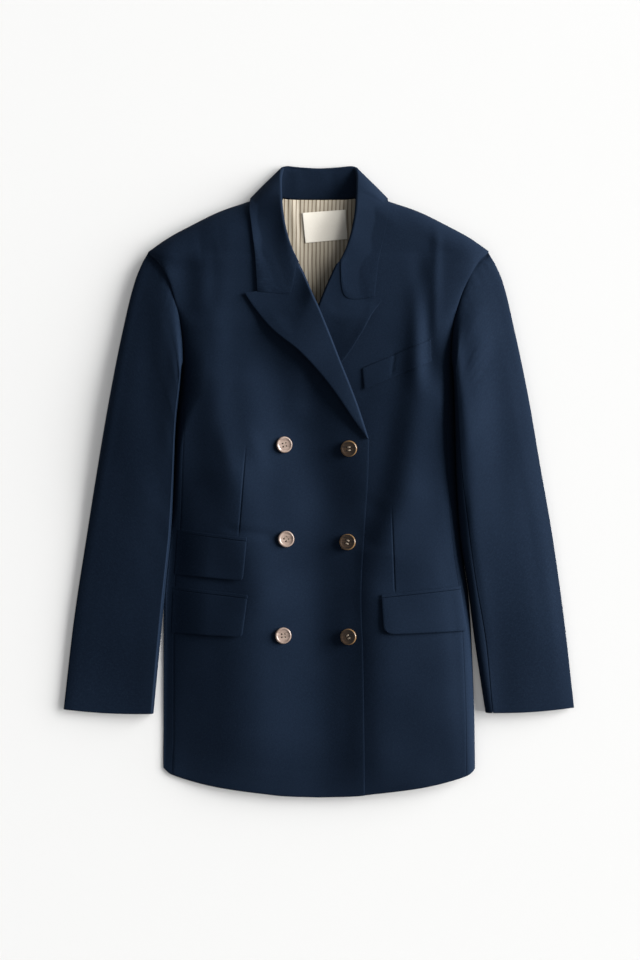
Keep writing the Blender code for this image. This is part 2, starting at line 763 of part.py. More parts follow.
# Along the lapel from the break to the peak: how high it stands off the front at its outer edge.
LAPEL_HOVER = table("v right left roll_right roll_left", (
    (0.0, 0.4, 0.3, 0.4, 0.4),
    (0.25, 5.0, 0.3, 1.0, 0.2),
    (0.5, 10.0, 0.3, 1.6, 0.2),
    (0.75, 9.0, 1.6, 1.6, 0.5),
    (1.0, 4.0, 2.4, 1.2, 0.8),
))
LAPEL_ROLL = 5.0
LAPEL_FOOT_Y = 57.0
GORGE_GAP = 1.0
NOTCH = 0.84               # share of the lapel's top edge that is sewn to the collar


def gorge(side, u):
    """The lapel's top edge: beside the collar's end from the roll to the notch, then to the peak."""
    row = collar_row(COLLAR_ROWS_EACH_SIDE, side)
    roll, fall, edge = (np.array(row[i:i + 2]) for i in (3, 6, 9))
    edge_rows = LAPEL_EDGE_RIGHT if side == RIGHT else LAPEL_EDGE_LEFT
    peak = np.array([edge_rows["x"][-1], edge_rows["y"][-1]])
    bend = 2 * fall - (roll + edge) / 2

    def beside(t):
        place = (1 - t) ** 2 * roll + 2 * t * (1 - t) * bend + t * t * edge
        along = (1 - t) * (bend - roll) + t * (edge - bend)
        across = np.array([-along[1], along[0]]) / np.linalg.norm(along)
        return place - side * GORGE_GAP * across

    if u <= NOTCH:
        return beside(u / NOTCH)
    notch = beside(1.0)
    return notch + (peak - notch) * (u - NOTCH) / (1 - NOTCH)


def make_lapel(side, group, material):
    edge_rows = LAPEL_EDGE_RIGHT if side == RIGHT else LAPEL_EDGE_LEFT
    roll = right_roll if side == RIGHT else left_roll
    base = right_front_top if side == RIGHT else body_top
    word = "right" if side == RIGHT else "left"
    edge_x, edge_y = column(edge_rows, "v", "x"), column(edge_rows, "v", "y")
    hover = column(LAPEL_HOVER, "v", word)
    roll_lift = column(LAPEL_HOVER, "v", "roll_" + word)

    def start(v):
        y = LAPEL_FOOT_Y + (gorge(side, 0)[1] - LAPEL_FOOT_Y) * v
        return np.array([roll(y), y])

    def end(v):
        return np.array([edge_x(v), edge_y(v)])

    def low(u):
        return start(0) * (1 - u) + end(0) * u

    def high(u):
        return gorge(side, u) + (1 - u) * (start(1) - gorge(side, 0))

    plan = coons(low, high, start, end)

    def point(u, v):
        x, y = plan(u, v)
        from_roll = u * np.linalg.norm(end(v) - start(v))
        front = base(x, y)
        full = front + REST_GAP + LAPEL_CLOTH + roll_lift(v) + hover(v) * smooth(u * 1.2)
        low_z = front + 2 * REST_GAP - (CLOTH + 2 * REST_GAP) * smooth((v - 0.06) * 12)
        return x, y, low_z + (full - low_z) * bulge(from_roll / LAPEL_ROLL)

    across = [0, 0.02, 0.06, *(NOTCH * (i + 1) / 6 for i in range(6)), 1]
    along = even(14)
    name = "lapel_" + word
    return shell(name, group, material, point, across, along, wall=LAPEL_CLOTH, outward=side)


# ---------------------------------------------------------------- pieces that lie on a panel
def laid_on(base, lift):
    """A surface parallel to base(x, y), lifted off it along its slope."""
    def place(x, y):
        step = 0.5
        slope_x = (base(x + step, y) - base(x - step, y)) / (2 * step)
        slope_y = (base(x, y + step) - base(x, y - step)) / (2 * step)
        normal = np.array([-slope_x, -slope_y, 1.0])
        normal /= np.linalg.norm(normal)
        return np.array([x, y, base(x, y)]) + normal * lift
    return place


def four_sided(corners):
    """Plan patch between four corners: lower left, lower right, upper right, upper left."""
    a, b, c, d = (np.array(corner, float) for corner in corners)

    def plan(u, v):
        return (1 - v) * ((1 - u) * a + u * b) + v * ((1 - u) * d + u * c)
    return plan


def make_patch(name, group, material, corners, base, across, rows, wall=CLOTH, gap=REST_GAP,
               droop=0.0):
    """A small flat piece on a panel. droop lifts its lower edge clear of the panel."""
    plan = four_sided(corners)

    def point(u, v):
        x, y = plan(u, v)
        return laid_on(base, wall + gap + droop * (1 - v))(x, y)

    return shell(name, group, material, point, across, even(rows), wall=wall)


# Corners in the order lower left, lower right, upper right, upper left.
FLAPS = {
    "flap_left": ((84.0, -196.0), (190.0, -192.0), (183.0, -138.6), (80.6, -149.4)),
    "flap_right": ((-193.0, -196.0), (-99.0, -200.0), (-92.4, -150.4), (-191.0, -140.0)),
    "ticket_flap_right": ((-189.0, -119.6), (-98.0, -127.6), (-93.6, -76.4), (-185.0, -65.6)),
}
JET_HEIGHT = 4.6
JET_WALL = 1.2
BREAST_WELT = ((58.5, 120.3), (145.6, 156.7), (145.0, 185.3), (55.9, 147.6))
LABEL = ((-17.8, 312.7), (37.3, 317.9), (34.6, 355.9), (-21.6, 351.7))
LINING_LOW_Y = 196.0
LINING_GAP = 1.0
LINING_HALF_WIDTHS = table("v x", ((0, 104.0), (0.55, 101.0), (0.85, 58.0), (1, 47.0)))


def make_pockets(group, material):
    for name, corners in FLAPS.items():
        base = right_front_top if corners[0][0] < 0 else body_top
        upper_right, upper_left = np.array(corners[2]), np.array(corners[3])
        across = stops((0, 0.72, 4), (0.72, 1, 5))
        if corners[0][0] < 0:
            across = [1 - u for u in reversed(across)]
        gap = np.array([0, 0.5])
        height = np.array([0, JET_HEIGHT])
        make_patch(name, group, material, corners, base, across, 3, gap=0.8, droop=0.8)
        jet = (upper_left + gap, upper_right + gap, upper_right + height, upper_left + height)
        make_patch(name.replace("flap", "jet"), group, material, jet, base, across, 1,
                   wall=JET_WALL, gap=0.7)
    make_patch("breast_welt", group, material, BREAST_WELT, body_top, even(9), 2, gap=0.9)


def make_lining(group, material):
    half_width = column(LINING_HALF_WIDTHS, "v", "x")
    base = laid_on(back_inside, LINING_CLOTH + LINING_GAP)

    def point(u, v):
        x = (2 * u - 1) * half_width(v)
        y = LINING_LOW_Y + (shoulder_line(abs(x)) - 0.6 - LINING_LOW_Y) * v
        return base(x, y)

    along = stops((0, 0.75, 3), (0.75, 1, 5))
    return shell("lining_back", group, material, point, even(12), along, wall=LINING_CLOTH)


def lining_top(x, y):
    return back_inside(x, y) + LINING_CLOTH + LINING_GAP


# ---------------------------------------------------------------- buttons
# Half section of a button, from the middle of its back to the middle of its dished face.
BUTTON_SECTION = (
    (0.0, 0.0),
    (BUTTON_RADIUS - 1.4, 0.0),
    (BUTTON_RADIUS, 1.4),
    (BUTTON_RADIUS - 0.5, BUTTON_HEIGHT - 0.4),
    (BUTTON_RADIUS - 1.6, BUTTON_HEIGHT),
    (BUTTON_RADIUS - 3.2, BUTTON_HEIGHT - 1.0),
    (0.0, BUTTON_HEIGHT - 1.0),
)
BUTTON_GAP = 0.7
BUTTONS = {
    "button_right_upper": (-45.5, 49.0),
    "button_right_middle": (-42.9, -73.4),
    "button_right_lower": (-46.6, -198.2),
    "button_left_upper": (39.0, 44.1),
    "button_left_middle": (37.2, -77.4),
    "button_left_lower": (38.4, -199.6),
}


def button_mesh(cutters):
    """A turned disc with four sewing holes cut through it."""
    build = bmesh.new()
    ring = [build.verts.new((r * MM, 0, z * MM)) for r, z in BUTTON_SECTION]
    edges = [build.edges.new(pair) for pair in zip(ring, ring[1:])]
    bmesh.ops.spin(build, geom=ring + edges, axis=(0, 0, 1), cent=(0, 0, 0),
                   angle=2 * math.pi, steps=18, use_merge=True)
    bmesh.ops.remove_doubles(build, verts=build.verts[:], dist=0.00001)
    bmesh.ops.recalc_face_normals(build, faces=build.faces[:])
    disc = bpy.data.meshes.new("button_disc")
    build.to_mesh(disc)
    build.free()
    drill = bmesh.new()
    for x_sign in (-1, 1):
        for y_sign in (-1, 1):
            made = bmesh.ops.create_cone(drill, cap_ends=True, segments=6,
                                         radius1=BUTTON_HOLE_RADIUS * MM,
                                         radius2=BUTTON_HOLE_RADIUS * MM,
                                         depth=4 * BUTTON_HEIGHT * MM)
            offset = (x_sign * BUTTON_HOLE_SPACING * MM, y_sign * BUTTON_HOLE_SPACING * MM, 0)
            bmesh.ops.translate(drill, verts=made["verts"], vec=offset)
    drill_mesh = bpy.data.meshes.new("button_drill")
    drill.to_mesh(drill_mesh)
    drill.free()
    cutter = bpy.data.objects.new("button_drill", drill_mesh)
    cutter.hide_render = True
    cutter.display_type = "WIRE"
    cutters.objects.link(cutter)
    blank = bpy.data.objects.new("button_blank", disc)
    cutters.objects.link(blank)
    holes = blank.modifiers.new("holes", "BOOLEAN")
    holes.object = cutter
    holes.operation = "DIFFERENCE"
    bpy.context.view_layer.update()
    evaluated = blank.evaluated_get(bpy.context.evaluated_depsgraph_get())
    drilled = bpy.data.meshes.new_from_object(evaluated)
    drilled.name = "button"
    bpy.data.objects.remove(blank, do_unlink=True)
    return drilled


def make_buttons(group, cutters, pale, dark):
    shared = button_mesh(cutters)
    for name, (x, y) in BUTTONS.items():
        spot = laid_on(right_front_top, BUTTON_GAP)(x, y)
        spot_up = laid_on(right_front_top, BUTTON_GAP + 1)(x, y)
        slope = spot_up - spot
        item = bpy.data.objects.new(name, shared.copy())
        item.data.materials.clear()
        item.data.materials.append(pale if "right" in name else dark)
        item.data.set_sharp_from_angle(angle=math.radians(35))
        item.location = spot * MM
        item.rotation_euler = (-math.atan2(slope[1], slope[2]), math.atan2(slope[0], slope[2]), 0)
        group.objects.link(item)


def main():
    clear_scene()
    blazer = collection("double_breasted_blazer")
    cutters = collection("cutters")
    wool = finish("navy_wool", (0.017, 0.035, 0.075), 0.85)
    striped = finish("striped_lining", (0.68, 0.60, 0.47), 0.55)
    satin = finish("label_satin", (0.78, 0.74, 0.66), 0.45)
    pale_horn = finish("pale_horn", (0.42, 0.32, 0.27), 0.35)
    dark_horn = finish("dark_horn", (0.10, 0.06, 0.03), 0.3)
    for side in (RIGHT, LEFT):
        make_back(side, blazer, wool)
        make_side_panel(side, blazer, wool)
        make_front(side, blazer, wool)
        make_lapel(side, blazer, wool)
        make_sleeve(side, blazer, wool)
    make_collar(blazer, wool)
    make_pockets(blazer, wool)
    make_lining(blazer, striped)
    make_patch("label", blazer, satin, LABEL, lining_top, even(4), 3, wall=LINING_CLOTH,
               gap=0.6)
    make_buttons(blazer, cutters, pale_horn, dark_horn)


main()
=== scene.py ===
# %% [markdown]
# # A double breasted blazer, laid flat on its back
#
# The blazer is a stack of cloth walls: a back, two side panels, two fronts that overlap, lapels,
# a collar, four halves of sleeves, pocket flaps, six buttons and a striped lining in the neck.
# The imported solids already have that shape, but their cells are two centimetres wide. Here each
# solid is replaced by a finer shell on the same form, with creases, darts, pressed edges and a
# finish of its own. We begin by loading the solids as a fixed frame.

import json
import math

import bmesh
import bpy
import numpy as np
from mathutils import Euler, Matrix, Vector

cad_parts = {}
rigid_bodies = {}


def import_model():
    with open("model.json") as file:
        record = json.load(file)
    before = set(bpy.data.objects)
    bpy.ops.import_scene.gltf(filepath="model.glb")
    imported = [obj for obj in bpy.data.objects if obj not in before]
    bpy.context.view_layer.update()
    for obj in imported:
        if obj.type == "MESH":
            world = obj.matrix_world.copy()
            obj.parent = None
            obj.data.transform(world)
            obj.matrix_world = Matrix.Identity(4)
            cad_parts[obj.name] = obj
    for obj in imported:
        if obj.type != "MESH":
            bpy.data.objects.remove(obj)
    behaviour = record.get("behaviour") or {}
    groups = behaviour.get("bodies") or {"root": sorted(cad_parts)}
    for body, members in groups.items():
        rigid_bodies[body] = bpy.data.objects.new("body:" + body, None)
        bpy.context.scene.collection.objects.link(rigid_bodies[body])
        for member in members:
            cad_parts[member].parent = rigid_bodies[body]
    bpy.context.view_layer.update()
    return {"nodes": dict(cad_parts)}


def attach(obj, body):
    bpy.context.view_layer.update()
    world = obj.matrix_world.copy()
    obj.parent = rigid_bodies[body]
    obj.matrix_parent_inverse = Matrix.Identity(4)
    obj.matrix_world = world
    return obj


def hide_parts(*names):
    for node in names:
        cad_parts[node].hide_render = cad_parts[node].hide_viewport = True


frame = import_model()
print("solids:", len(frame["nodes"]))

# %% [markdown]
# ## The sizes that drive the form
#
# A tailor works in millimetres, so the tables do too, and the mesh maker turns them into metres.
# X runs to the wearer's left, Y up to the collar and Z up from the floor. The wearer's right
# front is on top. Each table has named columns, and a smooth curve is drawn through its rows.

# %% Cloth sizes, millimetres
MM = 0.001
CLOTH = 1.8                # one layer of wool with its interlining
LAPEL_CLOTH = 2.4          # front turned back with its facing
LINING_CLOTH = 1.0
SEAM = 0.1                 # each piece stops this far short of its seam line
REST_GAP = 0.4
UNDERARM_Y = 159.0
SHOULDER_Y = 300.0
GORGE_Y = 283.0
BREAK_Y = 55.0
SHOULDER_GROW = 1.6        # how far the collar's fall stands off the shoulder's rounded edge
SEAM_FROM_FOLD = 12.0
BACK_SEAM_FROM_FOLD = 42.0
WIDEST_ROUNDING = 32.0
TIGHTEST_BEND = 3.2
BACK_NECK_RAISE = 3.2
ROLL_RADIUS = 1.9
TIP_SPLIT = 2.4
TIP_FROM_X = 192.0
TIP_LENGTH = 26.0
RIGHT, LEFT = -1, 1
SIDES = {RIGHT: "right", LEFT: "left"}


# %% Tables and the curves through them
def table(names, rows):
    """The rows' columns by name, each as an array."""
    return dict(zip(names.split(), np.array(rows, float).T))


def slopes(xs, ys):
    """Slopes of a smooth curve through the rows that never swings past them."""
    run = np.diff(xs)
    secant = np.diff(ys) / run
    weight_a = 2 * run[1:] + run[:-1]
    weight_b = run[1:] + 2 * run[:-1]
    with np.errstate(divide="ignore", invalid="ignore"):
        mean = (weight_a + weight_b) / (weight_a / secant[:-1] + weight_b / secant[1:])
    middle = np.where(secant[:-1] * secant[1:] > 0, mean, 0.0)
    return np.concatenate([secant[:1], middle, secant[-1:]])


def curve_through(xs, ys):
    """A smooth function of x through these places."""
    tangents = slopes(xs, ys)

    def value(x):
        x = np.clip(x, xs[0], xs[-1])
        i = np.clip(np.searchsorted(xs, x, side="right") - 1, 0, len(xs) - 2)
        step = xs[i + 1] - xs[i]
        t = (x - xs[i]) / step
        ease = t * t * (3 - 2 * t)
        start = t * (1 - t) ** 2 * step * tangents[i]
        end = t * t * (t - 1) * step * tangents[i + 1]
        return ys[i] + (ys[i + 1] - ys[i]) * ease + start + end

    return value


def columns(rows):
    """Smooth functions of a table's first column, one for each of its other columns."""
    key, *names = rows
    return [curve_through(rows[key], rows[name]) for name in names]


def curve(*rows):
    """A smooth function through rows of two numbers."""
    return curve_through(*np.array(rows, float).T)


def mirrored(line):
    """The line on both sides of the middle, of one that is known on X from 0 up."""
    return lambda x: line(np.abs(x))


def smooth(t):
    t = np.clip(t, 0.0, 1.0)
    return t * t * (3 - 2 * t)


def bulge(t):
    """Quarter round: rises upright from 0 and levels out at 1."""
    t = np.clip(t, 0.0, 1.0)
    return np.sqrt(1 - (1 - t) ** 2)


def rounding(mid_height):
    """How far in an edge is rounded, so that a wall can still bend round it."""
    return np.minimum(WIDEST_ROUNDING, mid_height ** 2 / TIGHTEST_BEND)


def ridge(distance, half_width):
    """1 on a line and falling away softly on both sides of it."""
    return np.exp(-(distance / half_width) ** 2)


# %% [markdown]
# ## The form of the body
#
# An empty jacket that lies flat is a low pillow. Its side edges are folded and rounded, its
# shoulders stand a little higher because of the sleeve heads, and its underside is flat where
# it rests. One height function for the top and one for the underside serve every piece of the
# body, so the pieces meet along their seams however finely each of them is cut up.

# %% Outline and heights of the body
BODY = table("y right left fold split crown", (
    (-412, -204.0, 204.0, 6.0, 0.0, 13.0),
    (-322, -202.0, 203.0, 6.8, 0.0, 15.5),
    (-224, -202.0, 199.8, 7.6, 0.0, 18.0),
    (-149, -201.4, 195.2, 8.2, 0.0, 19.0),
    (-94, -196.5, 187.4, 8.6, 0.0, 20.0),
    (-40, -192.1, 181.9, 9.0, 0.0, 21.5),
    (46, -187.9, 178.2, 10.2, 0.0, 25.0),
    (94, -184.5, 176.9, 11.2, 0.0, 28.0),
    (136, -180.2, 175.6, 12.2, 0.0, 30.6),
    (159, -177.6, 173.2, 15.0, 5.0, 32.0),
    (187, -178.2, 173.8, 19.5, 18.0, 34.0),
    (213, -181.0, 176.2, 25.0, 25.0, 35.0),
    (238, -187.0, 183.2, 29.0, 29.0, 35.0),
    (265, -195.8, 195.0, 29.0, 29.0, 34.0),
    (288, -210.6, 209.4, 21.0, 18.0, 32.0),
    (300, -222.6, 221.0, 14.4, 4.8, 30.0),
    (380, -222.6, 221.0, 14.4, 4.8, 27.0),
))
SHOULDER = table("x y mid", (
    (0, 369.2, 3.2),
    (34, 369.6, 3.2),
    (54, 372.2, 3.5),
    (66, 376.2, 9.0),
    (88, 367.6, 9.6),
    (128, 353.6, 11.0),
    (168, 334.0, 12.0),
    (194, 320.0, 12.0),
    (222.6, 300.0, 12.0),
))
edge_right, edge_left, fold_height, split_height, crown_height = columns(BODY)
shoulder_line, shoulder_mid = map(mirrored, columns(SHOULDER))
hem_line = mirrored(curve((0, -410.1), (44, -408.6), (77, -405.0), (109, -401.0),
                          (142, -395.6), (174, -387.6), (192, -381.6), (204, -375.5)))
neck_seam = curve((283, 29.0), (292, 38.0), (312, 50.0), (335, 58.4), (360, 64.4), (376.2, 66.0))
free_edge = {
    RIGHT: curve((-410, 59.8), (-225, 57.2), (-150, 54.8), (-60, 59.4), (10, 64.0), (55, 65.0)),
    LEFT: curve((-410, -66.0), (55, -66.0)),
}
roll_line = {
    RIGHT: curve((55, 65.0), (101, 50.1), (159, 27.3), (192, 14.3),
                 (229.5, -1.3), (248, -9.8), (274, -20.8), (283, -25.4)),
    LEFT: curve((55, -66.0), (101, -50.1), (159, -28.3), (192, -15.3),
                (229.5, -1.3), (261, 11.7), (283, 22.0)),
}
print("body:", len(BODY["y"]), "sections from hem to shoulder")

# %% [markdown]
# ## Creases, one by one
#
# Wool with interlining folds in long soft troughs, never in sharp wrinkles. Each row below is
# one trough or ridge: its two ends, its half width and its depth, down where it is negative.
# Long shallow ones come from how the jacket was laid. Short ones pull from the buttons, the
# underarms and the pocket ends. No two have the same length or depth.

# %% Creases of the body
BODY_CREASES = table("x0 y0 x1 y1 half_width depth", (
    # The broad swell of the right front, from the chest down to the hem.
    (-149, 312, -129, 161, 18.0, 2.5),
    (-117, 162, -112, -16, 37.0, 18.0),
    (-112, -26, -67, -162, 40.0, 8.7),
    (-83, -149, -87, -365, 70.6, 11.3),
    # The hollow down the middle, where the fronts overlap.
    (-38, 149, 18, -56, 37.9, -8.6),
    (-4, -32, -1, -382, 24.4, -2.3),
    (45, -29, 63, -385, 11.6, -0.7),
    (45, -154, 38, -358, 12.8, -0.7),
    # The swell of the left front, and its broad fall to the side.
    (137, 277, 126, 132, 14.9, 6.8),
    (124, 145, 104, -37, 38.7, 11.3),
    (89, -39, 61, -160, 29.4, 4.8),
    (71, -154, 76, -391, 50.1, 14.1),
    (104, -33, 190, -374, 70.9, 16.8),
    # The flanks fall away to the folded edges.
    (-169, 151, -181, -22, 48.8, 3.7),
    (-196, -12, -221, -411, 24.1, -12.6),
    (-178, -38, -183, -445, 30.3, -6.8),
    (182, 109, 188, -61, 36.4, 1.3),
    (170, -57, 198, -396, 14.8, -2.2),
    # Troughs from the chest and below the breast pocket.
    (132, 283, 145, 138, 12.5, -6.1),
    (153, 329, 149, 182, 6.7, 1.5),
    (111, 154, 79, -33, 22.1, -5.6),
    (76, -26, 58, -82, 16.5, -3.0),
    (-175, 288, -181, 215, 27.0, -5.5),
    (-134, 333, -139, 226, 12.3, -2.2),
    # Small ones: pulls from the buttons, pocket ends and underarms.
    (-25, 170, -31, 83, 19.8, 3.8),
    (154, 119, 161, 28, 5.0, 0.9),
    (-119, 170, -101, 14, 23.5, -7.2),
    (-76, 45, -123, 31, 27.8, 1.8),
    (-57, -70, -120, -61, 5.8, -1.7),
    (52, -84, 106, -97, 5.0, 0.4),
    (-4, -218, -5, -374, 22.9, 1.8),
    (-138, -183, -150, -417, 25.0, -1.6),
    (131, -267, 130, -413, 36.2, 3.3),
    (36, 300, 61, 215, 8.3, -0.8),
    (-77, 317, -143, 309, 30.4, 6.0),
    (107, 340, 164, 297, 11.2, -0.5),
    (98, 168, 94, 140, 2.4, -0.9),
))


def fading(along, run):
    """1 along a crease, and nothing from a fifth of its length past its ends."""
    return smooth((along + 0.2) / run) * smooth((1.2 - along) / run)


def creases(rows, x, y):
    """Height that a table's creases add at each point."""
    total = np.zeros(np.broadcast(x, y).shape)
    for x0, y0, x1, y1, half_width, depth in zip(*rows.values()):
        run_x, run_y = x1 - x0, y1 - y0
        length = math.hypot(run_x, run_y)
        along = ((x - x0) * run_x + (y - y0) * run_y) / length ** 2
        across = ((x - x0) * run_y - (y - y0) * run_x) / length
        total = total + depth * fading(along, 0.4) * ridge(across, half_width)
    return total


# %% Top and underside of the body
def side_distance(x, y):
    return np.maximum(np.minimum(x - edge_right(y), edge_left(y) - x), 0.0)


RIGHT_FLATTER = 0.45       # the right side lies pressed flatter than the left
FLATTER_FROM_Y, FLATTER_RUN = 150.0, 110.0
BACK_NECK_Y, BACK_NECK_RUN = 316.0, 38.0
BACK_NECK_HALF_WIDTH, BACK_NECK_FADE = 128.0, 30.0


def side_fold(x, y):
    """Height of the fold at the side that this point is nearer to."""
    flatter = RIGHT_FLATTER * smooth((FLATTER_FROM_Y - y) / FLATTER_RUN)
    return fold_height(y) * (1 - flatter * (x < 0))


def under_height(y):
    return np.maximum(fold_height(y) - split_height(y), 0.0)


def tip_split(x):
    return TIP_SPLIT * smooth((np.abs(x) - TIP_FROM_X) / TIP_LENGTH)


def at_shoulder(x, y, z, split, grow=0.0):
    """The height z, bent to the middle of the shoulder's edge as y nears the shoulder line."""
    mid = shoulder_mid(x)
    inside = bulge((shoulder_line(x) + grow - y) / rounding(mid))
    return mid + split + (z - (mid + split)) * inside


def body_top(x, y, grow=0.0):
    """Height of the top of one layer of fronts over the hollow body."""
    edge = side_fold(x, y)
    rise = bulge(side_distance(x, y) / rounding(edge))
    z = edge + (crown_height(y) + creases(BODY_CREASES, x, y) - edge) * rise
    return at_shoulder(x, y, z, tip_split(x), grow) + grow


def body_bottom(x, y):
    """Height of the underside of the back, over the collar's fall at the neck."""
    edge = side_fold(x, y)
    inside = bulge(side_distance(x, y) / rounding(edge))
    z = np.maximum(edge - split_height(y), 0.0) * (1 - inside)
    over_fall = smooth((y - BACK_NECK_Y) / BACK_NECK_RUN)
    near_neck = smooth((BACK_NECK_HALF_WIDTH - np.abs(x)) / BACK_NECK_FADE)
    return at_shoulder(x, y, z + BACK_NECK_RAISE * over_fall * near_neck, -tip_split(x))


OVERLAP_GAP = 0.7
UNDER_LAPEL_GAP = 2.2
LIFT_RUN = 78.0
LIFT_REACH = 74.0
LIFT_BEND = 70.0


def right_front_top(x, y):
    """The right front, lifted where the left front and its lapel lie under it."""
    under_edge = np.where(y < BREAK_Y, free_edge[LEFT](y), roll_line[LEFT](y))
    lapel = (LAPEL_CLOTH + UNDER_LAPEL_GAP) * smooth((y - BREAK_Y + LIFT_RUN) / LIFT_RUN)
    lift = (CLOTH + OVERLAP_GAP + lapel) * smooth((x - under_edge + LIFT_REACH) / LIFT_BEND)
    return body_top(x, y) + lift


print("body top is", round(float(body_top(0.0, 100.0)), 1), "mm high in the middle")

# %% [markdown]
# ## How a wall of cloth is made
#
# Every piece is a surface that is given as a function of two shares: u across the cloth and v
# along it. A grid from `create_grid` is moved onto the surface, extruded once, and the copy is
# moved inwards by the cloth's thickness, so that the wall is closed and even. The grid's own
# stops can be closer together where a dart, an edge or a roll needs it. A small bevel then
# breaks the rim, because a pressed edge of wool is never a sharp corner. We keep the cloth's own
# directions in a UV map in metres, so that the weave follows the grain of each cut piece.

# %% The grid's stops
scene = bpy.context.scene
blazer = bpy.data.collections.new("blazer")
scene.collection.children.link(blazer)
made = []


def stops(*spans):
    """Stops from spans of (start, end, count)."""
    found = [spans[0][0]]
    for start, end, count in spans:
        found += [start + (end - start) * (i + 1) / count for i in range(count)]
    return np.array(found)


def even(count):
    return np.linspace(0, 1, count + 1)


def place(*coordinates):
    """Points from two or three arrays of coordinates."""
    return np.stack(np.broadcast_arrays(*coordinates), axis=-1).astype(float)


def apart(points):
    """The points' X and their Y."""
    return points[..., 0], points[..., 1]


def dot(a, b):
    return (a * b).sum(axis=-1, keepdims=True)


def unit(vectors):
    return vectors / np.sqrt(dot(vectors, vectors))


# %% The wall maker
STEP = 1e-4
RIM_BEVEL = 0.45
SOFT_BEVEL = 0.12          # where a seam hardly shows
RIM_ANGLE, SHADE_ANGLE = math.radians(55), math.radians(60)
ZERO, ONE = np.zeros(1), np.ones(1)     # the two ends of a share, as arrays for the surfaces


def both_faces(surface, u, v, wall, outward, proud):
    """The wall's two faces: the outer one stands proud of the surface by that much."""
    along_u = surface(np.minimum(u + STEP, 1), v) - surface(np.maximum(u - STEP, 0), v)
    along_v = surface(u, np.minimum(v + STEP, 1)) - surface(u, np.maximum(v - STEP, 0))
    normal = unit(np.cross(along_u, along_v)) * outward
    outer = surface(u, v) + normal * proud
    return outer, outer - normal * wall


def bend_rim(build, width):
    """Breaks the wall's rim with a small round."""
    rim = [edge for edge in build.edges if edge.calc_face_angle(0.0) > RIM_ANGLE]
    bmesh.ops.bevel(build, geom=rim, offset=width * MM, offset_type="OFFSET", segments=2,
                    profile=0.5, affect="EDGES", material=-1, clamp_overlap=True)


def new_object(name, data, collection=scene.collection):
    item = bpy.data.objects.new(name, data)
    collection.objects.link(item)
    return item


def to_mesh(name, build):
    """Turns a finished bmesh into a mesh."""
    mesh = bpy.data.meshes.new(name)
    build.to_mesh(mesh)
    build.free()
    return mesh


def to_object(name, build):
    """Turns a finished bmesh into an object of the blazer's collection."""
    mesh = to_mesh(name, build)
    mesh.shade_smooth()
    mesh.set_sharp_from_angle(angle=SHADE_ANGLE)
    return new_object(name, mesh, blazer)


def wall_of(name, surface, across, along, wall=CLOTH, outward=1, proud=0.0, grain=None,
            bevel=RIM_BEVEL):
    """A closed wall of cloth on surface(u, v)."""
    build = bmesh.new()
    columns, rows = len(across) - 1, len(along) - 1
    bmesh.ops.create_grid(build, x_segments=columns, y_segments=rows, size=1.0)
    number = build.verts.layers.int.new("number")
    flat = np.array([vert.co[:2] for vert in build.verts])
    for i, vert in enumerate(build.verts):
        vert[number] = i
    u = across[np.rint((flat[:, 0] + 1) / 2 * columns).astype(int)]
    v = along[np.rint((flat[:, 1] + 1) / 2 * rows).astype(int)]
    outer, inner = both_faces(surface, u, v, wall, outward, proud)
    threads = outer[:, :2] if grain is None else grain(u, v)
    extruded = bmesh.ops.extrude_face_region(build, geom=build.faces[:], use_keep_orig=True)
    inside = {item for item in extruded["geom"] if isinstance(item, bmesh.types.BMVert)}
    for vert in build.verts:
        vert.co = (inner if vert in inside else outer)[vert[number]] * MM
    weave = build.loops.layers.uv.new("weave")
    for face in build.faces:
        for loop in face.loops:
            loop[weave].uv = threads[loop.vert[number]] * MM
    bmesh.ops.recalc_face_normals(build, faces=build.faces[:])
    bend_rim(build, min(bevel, wall / 3))
    build.verts.layers.int.remove(number)
    made.append(to_object("cloth_" + name, build))
    return made[-1]


# %% [markdown]
# ## Finishes: a little language for shader nodes
#
# A finish is a Principled shader fed by a few textures. Written by hand, the nodes for one weave
# take fifty lines, so a small class wraps a socket and lets us write `1 - mask` or `a * b`: each
# operator adds its Math node. Every other node comes from one method.

# %% A socket that can be reckoned with
class Wire:
    """An output socket on which arithmetic adds the Math node that it stands for."""

    def __init__(self, socket):
        self.socket = socket
        self.tree = socket.id_data

    def reckon(self, operation, *values):
        node = self.tree.nodes.new("ShaderNodeMath")
        node.operation = operation
        for socket, value in zip(node.inputs, values):
            if isinstance(value, Wire):
                self.tree.links.new(value.socket, socket)
            else:
                socket.default_value = value
        return Wire(node.outputs[0])

    def __add__(self, other):
        return self.reckon("ADD", self, other)

    def __sub__(self, other):
        return self.reckon("SUBTRACT", self, other)

    def __rsub__(self, other):
        return self.reckon("SUBTRACT", other, self)

    def __mul__(self, other):
        return self.reckon("MULTIPLY", self, other)

    def __truediv__(self, other):
        return self.reckon("DIVIDE", self, other)

    def sine(self):
        return self.reckon("SINE", self)

    def fraction(self):
        return self.reckon("FRACT", self)

    def between(self, low, high):
        """0 below low, 1 above high and straight between them."""
        return ((self - low) / (high - low)).limited()

    def limited(self):
        node = self.tree.nodes.new("ShaderNodeClamp")
        self.tree.links.new(self.socket, node.inputs["Value"])
        return Wire(node.outputs[0])

    __radd__ = __add__
    __rmul__ = __mul__


